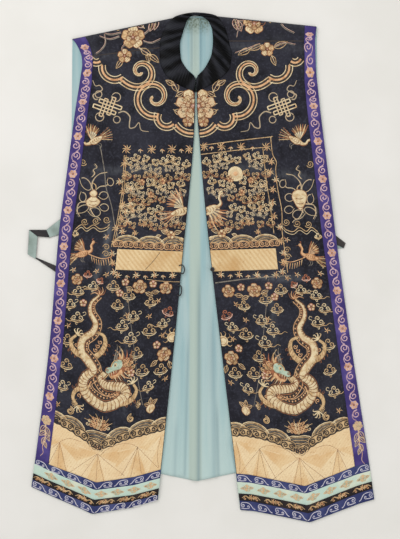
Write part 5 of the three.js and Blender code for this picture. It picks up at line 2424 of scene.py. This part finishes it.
    def _clouds(self, pen: Pen) -> None:
        """Pack small clouds over the badge, clear of the bird, with rosy blossoms between.

        Args:
            pen: The pen that draws.
        """
        tones = [(Tone.CREAM, Tone.GOLD), (Tone.GOLD, Tone.BROWN), (Tone.PEACH, Tone.GREY)]
        pitch, side_end, foot_end, clear = 17.5, 138, 402, 24
        bird, disc = (22, 352), (72, 279)
        for row in range(9):
            for column in range(8):
                out = 12 + pitch * column + (8 if row % 2 else 0) + 4 * math.sin(2.1 * row + 1.3 * column)
                down = 251 + pitch * row + 5 * math.cos(1.7 * column + row)
                near_bird = abs(out - bird[0]) < clear + 3 and abs(down - bird[1]) < clear
                near_disc = self.cut.side is Side.RIGHT and math.hypot(out - disc[0], down - disc[1]) < clear
                if out > side_end or near_bird or near_disc or down > foot_end + 8 * math.sin(out / 17):
                    continue
                line, foot = tones[(row * 5 + column * 3) % 3]
                size, turn = 0.86 + 0.1 * math.sin(3.1 * row + column), 50 * math.sin(row + 2.0 * column)
                Cloud(line, foot, 1.6).draw(pen.at(out, -down, size, turn))
        blossoms = [(82, 326), (104, 300), (60, 296), (118, 362), (90, 392), (40, 404), (108, 412)]
        self._set(pen, Bloom(7, (5,), Tone.AMBER, Tone.GOLD), blossoms[:3])
        self._set(pen, Sprig(Tone.GOLD, 7, 8), blossoms[3:])

    def side_work(self) -> None:
        """Work the column between the badge and the side ribbon."""
        Vessel(self.cut.side is Side.RIGHT).draw(self.panel.at(205, -340, 0.95))
        tail = [(236, -410), (224, -400), (212, -408), (198, -399), (184, -407), (170, -403), (164, -396)]
        self.panel.line(Tone.GOLD, tail, 1.6, 6)
        self.panel.line(Tone.CREAM, [(x, y - 6) for x, y in tail], 1.3, 6)
        for out, down in ((218, 393), (194, 390), (171, 386), (234, 262)):
            self.panel.line(Tone.GOLD, spiral(out, -down, 8, 200, 1.7, 0.1), 1.4, 1, 0.8)
        self.panel.line(Tone.AMBER, [(206, -462), (190, -468), (170, -472), (152, -466)], 1.8, 5, 0.8)
        self._set(self.panel, Cloud(), [(236, 420, 0.7)])
        for k in range(9):
            foot = (196 - 5.2 * k, -468 - 7 * math.sin(0.39 * k))
            self.panel.line(Tone.AMBER if k % 2 else Tone.GOLD, [foot, (foot[0] - 3, foot[1] - 12)], (2.0, 0.8), 0)
        for down in (446, 461):
            self.panel.line(Tone.GOLD, spiral(166, -down, 7.5, 0, 1.6, 0.1), 1.5, 1, 0.8)
        Bird(wing=28, tail_curls=2, body=Tone.AMBER).draw(self.panel.at(216, -462, 1.05, 0, True))
        self._set(self.panel, Sprig(Tone.PEACH, 5, 8), [(232, 500), (182, 500), (168, 424)])

    def field_work(self) -> None:
        """Work the lower field: dragon, clouds, flowers, pearl, fruit and waves."""
        pen = self.panel
        clouds = [
            (217, 546), (143, 530), (214, 602), (130, 570), (94, 592), (57, 619), (96, 636), (64, 698), (48, 730),
            (228, 700), (186, 533), (231, 650), (232, 744), (80, 664), (116, 612), (24, 700), (30, 604), (108, 548),
            (232, 575), (60, 560),
        ]
        self._set(pen, Cloud(tail=True), [(x, y, 1.15 + 0.12 * math.sin(x)) for x, y in clouds[::2]])
        self._set(pen, Cloud(Tone.GOLD, Tone.CREAM), [(x, y, 1.2 + 0.12 * math.cos(x)) for x, y in clouds[1::2]])
        self._set(pen, Cloud(Tone.RUST, Tone.ROSE, 2.0), [(20, 578, 1.1, 20), (200, 508, 0.8), (172, 520, 0.7, 30)])
        flowers = [(86, 528), (30, 527, 0.9), (20, 668), (222, 520, 0.8)]
        leaves = [(100, 536, 1, 20), (72, 540, 1, 200), (44, 536, 1, -10), (34, 680, 1, -40), (8, 684, 1, 250)]
        buds = [(118, 520), (58, 520), (38, 648), (204, 570), (88, 700), (128, 544)]
        stars = [(160, 506), (44, 556), (108, 590), (28, 628), (232, 620), (60, 590), (12, 720), (238, 784)]
        self._set(pen, Bloom(15, (5, 5), Tone.PEACH, Tone.GOLD), flowers)
        self._set(pen, Leaf(17, 4), leaves)
        self._set(pen, Bloom(8, (5,), Tone.ROSE, Tone.PEACH), buds)
        self._set(pen, Sprig(Tone.GOLD, 5, 8), stars)
        Pearl(10).draw(pen.at(6, -632, 1.1, 20))
        Peach().draw(pen.at(38, -776, 1.1))
        self._set(pen, Pearl(4), [(63, 762, 0.7), (200, 770, 0.7)])
        pen.line(Tone.GREY, [(119, -506), (104, -580), (86, -655), (75, -704), (56, -765)], 1.3, 8)
        Dragon().draw(pen.at(150, -676))
        mounds = ((237, 818, 26), (12, 822, 26), (205, 820, 30), (52, 820, 32), (100, 824, 30), (147, 832, 34))
        for out, down, radius in mounds:
            WaveMound(radius, 8, 0.72).draw(pen.at(out, -down))
        for out, hand in ((211, 1), (79, -1)):
            for radius in (9.5, 6.0):
                pen.line(Tone.GOLD, spiral(out, -788, radius, 90, 1.2 * hand), 1.9, 1, 0.9)
        self._foam(pen.at(149, -803))
        for k in range(9):
            out = 2 + 30.2 * k
            down = float(np.interp(out, FIELD_TOP[:, 0], FIELD_TOP[:, 1])) - 7
            slope = float(np.interp(out, [3, 100, 146, 190, 240], [4, -8, 0, 12, 2]))
            Scroll().draw(pen.at(out, -down, 1.12 if k % 2 else 1.2, slope))
        Scroll(Tone.AMBER).draw(pen.at(146, -839, 1.0))
        self._mountain_lines(pen)

    @staticmethod
    def _foam(pen: Pen) -> None:
        """Draw the spray over the middle wave: flames and rows of curls.

        Args:
            pen: The pen that draws.
        """
        for k in range(13):
            angle = math.radians(10 + 13.3 * k)
            reach = 27 + 6 * (k % 2)
            tip = (reach * math.cos(angle), 0.85 * reach * math.sin(angle))
            bend = (0.6 * tip[0] - 3, 0.6 * tip[1] + 2)
            pen.line(Tone.GOLD if k % 2 else Tone.BROWN, [(0.2 * tip[0], 0), bend, tip], (2.4, 2.0, 0.8), 4, 0.8)
        for row, count in enumerate((7, 6, 4)):
            for k in range(count):
                x = 7.6 * (k - (count - 1) / 2)
                hand = 1 if x > 0 else -1
                curl = spiral(x, 3 + 7.5 * row, 4.0, 90 + 60 * hand, 1.2 * hand)
                pen.line(Tone.CREAM if (k + row) % 3 == 0 else Tone.AMBER, curl, 1.6, 1, 1.0)

    @staticmethod
    def _mountain_lines(pen: Pen) -> None:
        """Draw the fan mountains' edges over the solid field.

        Args:
            pen: The pen that draws.
        """
        fans = (
            ((144, -851), ((141, -914), (196, -914), (173, -914), (124, -914), (80, -910))),
            ((58, -851), ((87, -908), (43, -914), (6, -914), (66, -914))),
            ((225, -860), ((242, -914), (205, -916), (224, -914))),
        )
        rays = [[peak, foot] for peak, feet in fans for foot in feet]
        ridges = [
            [(141, -856), (124, -843), (98, -837), (74, -841), (58, -851)],
            [(238, -878), (225, -860), (206, -844), (180, -841)],
            [(8, -842), (12, -880), (6, -912)],
        ]
        for path in rays + ridges:
            pen.line(Tone.BROWN, path, 0.9, 4, 1.1)

    @staticmethod
    def _double_curl(band: Pen, s: float, hand: int, tall: float) -> None:
        """Draw one wave of a hem band: a sweep that rises into a curl, and a small curl under it.

        Args:
            band: The band's pen.
            s: Place along the band.
            hand: Side it turns to, 1 or -1.
            tall: Height against the upper band's.
        """
        rise = [(s - 21 * hand, -5.6), (s - 16.5 * hand, -3.6), (s - 12 * hand, 2.2), (s - 6 * hand, 5.3)]
        crest = spiral(s + 4.4 * hand, 0.5, 4.9, 90 + 10 * hand, -1.35 * hand)
        foot = spiral(s - 6.3 * hand, -1.7, 3.3, -90 + 20 * hand, -1.1 * hand)
        for path in ([*rise, *crest], [(s + 9 * hand, -4.9), (s + 2 * hand, -5.6), *foot]):
            band.line(Tone.LILAC, np.array(path) * (1, tall), 1.5, 2, 0.5)

    def ribbon_work(self) -> None:
        """Work the side ribbon and the four hem bands."""
        start = -self.cut.fold - 8
        for run in range(11):
            y = start - REPEAT * run - 20
            if -y > LAST_ROSETTE:
                break
            Rosette().draw(self.edge.at(13, y))
            for k in range(3):
                middle = y - 20 - CURL * k
                hand = 1 - 2 * (k % 2)
                if -middle > LAST_CURL:
                    break
                curl = spiral(13 - 2 * hand, middle, 8.8, 90 * hand + 20, -1.4 * hand)
                self.edge.line(Tone.PINK, curl, 2.2, 1, 0.6)
                bend = 13 + 6 * hand
                sweep = [(13 - 5 * hand, middle + 9), (bend, middle + 2), (bend, middle - 8), (13, middle - 13)]
                self.edge.line(Tone.PINK, sweep, 1.5, 5, 0.6)
        Bloom(10, (6,), Tone.ROSE, Tone.PEACH, Tone.PEACH).draw(self.edge.at(12, -826))
        spray = [
            (12, 838, 1.2, -120), (13, 840, 1.2, -60), (13, 850, 1.1, -130), (13, 853, 1.1, -55), (14, 864, 1, -110),
            (13, 872, 0.9, -65),
        ]
        self._set(self.edge, Leaf(17, 3.6, Tone.PEACH), spray)
        self.edge.line(Tone.ROSE, [(12, -836), (14, -862), (11, -884), (14, -898), (9, -908)], (2.0, 0.9), 6, 0.6)
        width = float(self.cut.width(self.cut.hem))
        for row, tall in ((0, 1.0), (3, 1.15)):
            band = Pen(self.ribbon_needle, self._band_plane(row))
            for hand in (-1, 1):
                for k in range(4):
                    self._double_curl(band, width / 2 + hand * (22 + (width / 6 - 11) * k), hand, tall)
        pale = Pen(self.ribbon_needle, self._band_plane(1))
        dark = Pen(self.ribbon_needle, self._band_plane(2))
        for k in range(int(width / 36)):
            s = 20 + 36 * k
            Bloom(7, (5,), Tone.PEACH, Tone.MINT, Tone.PEACH).draw(pale.at(s, 0))
            for turn in (6, 186):
                Leaf(15, 2.6, Tone.PEACH).draw(pale.at(s, 0, 1, turn))
        for k in range(6):
            s = width * (k + 0.54) / 6
            Sprig(Tone.GOLD, 7, 7.5).draw(dark.at(s, 0))
            Sprig(Tone.AMBER, 5, 5).draw(dark.at(s + 8, 1))
            for hand in (-1, 1):
                dark.line(Tone.GOLD, [(s + 4 * hand, -2), (s + 12 * hand, 3), (s + 20 * hand, -2)], (3.0, 1.0), 5, 0.6)
                dark.line(Tone.AMBER, spiral(s + 13 * hand, -2.5, 3.2, 90, 1.1), 1.4, 1, 0.7)

    def build(self) -> None:
        """Work the front and make a mesh for each thread."""
        word = self.cut.side.value
        self.chest_work()
        self.badge_work()
        self.side_work()
        self.field_work()
        self.ribbon_work()
        strip = BADGE_FIELD - (0, self.badge_rise)
        CouchedField(self.cut, f"badge_field_{word}", (1.2, 142), strip, strip + (0, BADGE_FIELD_DEPTH)).build()
        wide = float(self.cut.width(900.0)) * (1 - SIDE_BAND_SHARE)
        across = np.linspace(0, wide, 9)
        top = np.column_stack([across, np.interp(across, FIELD_TOP[:, 0], FIELD_TOP[:, 1])])
        shares = across / float(self.cut.width(900.0))
        bottom = np.column_stack([across, self.cut.band_top(shares, 0) - 0.6])
        sides = (1.2, wide - 0.8)
        CouchedField(self.cut, f"hem_field_{word}", sides, top, bottom, 1.35, 4.4, 0.6, HEM_PEAKS, COUCHED_HEM).build()
        for label, needle in (("silk", self.silk_needle), ("ribbons", self.ribbon_needle)):
            for tone, cloth in needle.cloths().items():
                add_piece(f"{tone.name.lower()}_thread_{label}_{word}", cloth, [tone.value.material()])


@dataclass
class Stage:
    """The pale table, soft studio light and the camera above it."""

    lens: float = 85.0
    sensor: float = 36.0
    view_height: float = 539 * 2.16 * MM
    aim: tuple[float, float] = (-0.0021, -0.0044)
    table_gap: float = 0.0004

    def build(self) -> None:
        """Set the table, the lights and the camera."""
        self._table()
        self._light("key_light", (-1.3, 1.5, 2.4), 2.2, 42.0)
        self._light("fill_light", (1.6, -0.9, 2.6), 2.6, 18.0)
        world = bpy.data.worlds.new("studio")
        bpy.context.scene.world = world
        world.use_nodes = True
        background = world.node_tree.nodes["Background"]
        background.inputs["Color"].default_value = (*colour("#f4f3f0"), 1.0)
        background.inputs["Strength"].default_value = 0.68
        bpy.context.scene.view_settings.view_transform = "Standard"
        self._camera()

    def _table(self) -> None:
        """Lay the pale table."""
        mesh = bpy.data.meshes.new("table")
        form = bmesh.new()
        bmesh.ops.create_grid(form, x_segments=8, y_segments=8, size=4)
        bmesh.ops.translate(form, verts=form.verts, vec=(0, 0, -self.table_gap))
        form.to_mesh(mesh)
        form.free()
        recipe = Recipe("table_top")
        grain = recipe.noise(6, 3)
        tint = recipe.mix(grain.eased(0.3, 0.7), colour("#e3e1dc"), colour("#e8e6e2"))
        mesh.materials.append(recipe.finish(tint, grain * 0.1 + 0.75))
        table = bpy.data.objects.new("table", mesh)
        bpy.context.scene.collection.objects.link(table)

    @staticmethod
    def _light(name: str, place: tuple[float, float, float], size: float, power: float) -> None:
        """Hang one soft square light that looks at the middle of the garment.

        Args:
            name: Its name.
            place: Where it hangs.
            size: Side of the square, in metres.
            power: Power in watts.
        """
        light = bpy.data.lights.new(name, "AREA")
        light.shape = "SQUARE"
        light.size = size
        light.energy = power
        lamp = bpy.data.objects.new(name, light)
        lamp.location = place
        x, y, z = place
        lamp.rotation_euler = (math.atan2(math.hypot(x, y), z), 0, math.atan2(y, x) + math.pi / 2)
        bpy.context.scene.collection.objects.link(lamp)

    def _camera(self) -> None:
        """Put the camera straight above the garment."""
        data = bpy.data.cameras.new("camera")
        data.lens = self.lens
        data.sensor_fit = "VERTICAL"
        data.sensor_height = self.sensor
        data.clip_end = 20
        camera = bpy.data.objects.new("camera", data)
        camera.location = (*self.aim, self.view_height * self.lens / self.sensor)
        bpy.context.scene.collection.objects.link(camera)
        bpy.context.scene.camera = camera


# Each tie: its piece, its solid, the place that carries it, its cut length in metres and its crease ends.
TIES = (
    FoldedTie("tie_left_ribbon", "tie_left", (-290, 0), 0.21, np.array([
        [(-287, 116), (-287, 76)],
        [(-333, 80), (-326, 64)],
        [(-370, 80), (-352, 66)],
        [(-373, 28), (-356, 18)],
        [(-287, -8), (-287, -28)],
    ], float)),
    FoldedTie("tie_right_ribbon", "tie_right", (284, 74), 0.1, np.array([
        [(262, 60), (262, 38)],
        [(312, 52), (308, 41)],
        [(268, 86), (266, 62)],
    ], float)),
)


def main() -> None:
    """Build the surcoat, its parts in the order in which they lie."""
    logging.basicConfig(level=logging.INFO, format="%(name)s %(message)s")
    Stage().build()
    BackPanel().build()
    BackLining().build()
    for cut, badge_rise in ((LEFT, 0.0), (RIGHT, 8.0)):
        Front(cut).build()
        FrontWork(cut, badge_rise).build()
    Collar().build()
    for tie in TIES:
        tie.build()
    Fastenings().build()


if __name__ == "__main__":
    main()
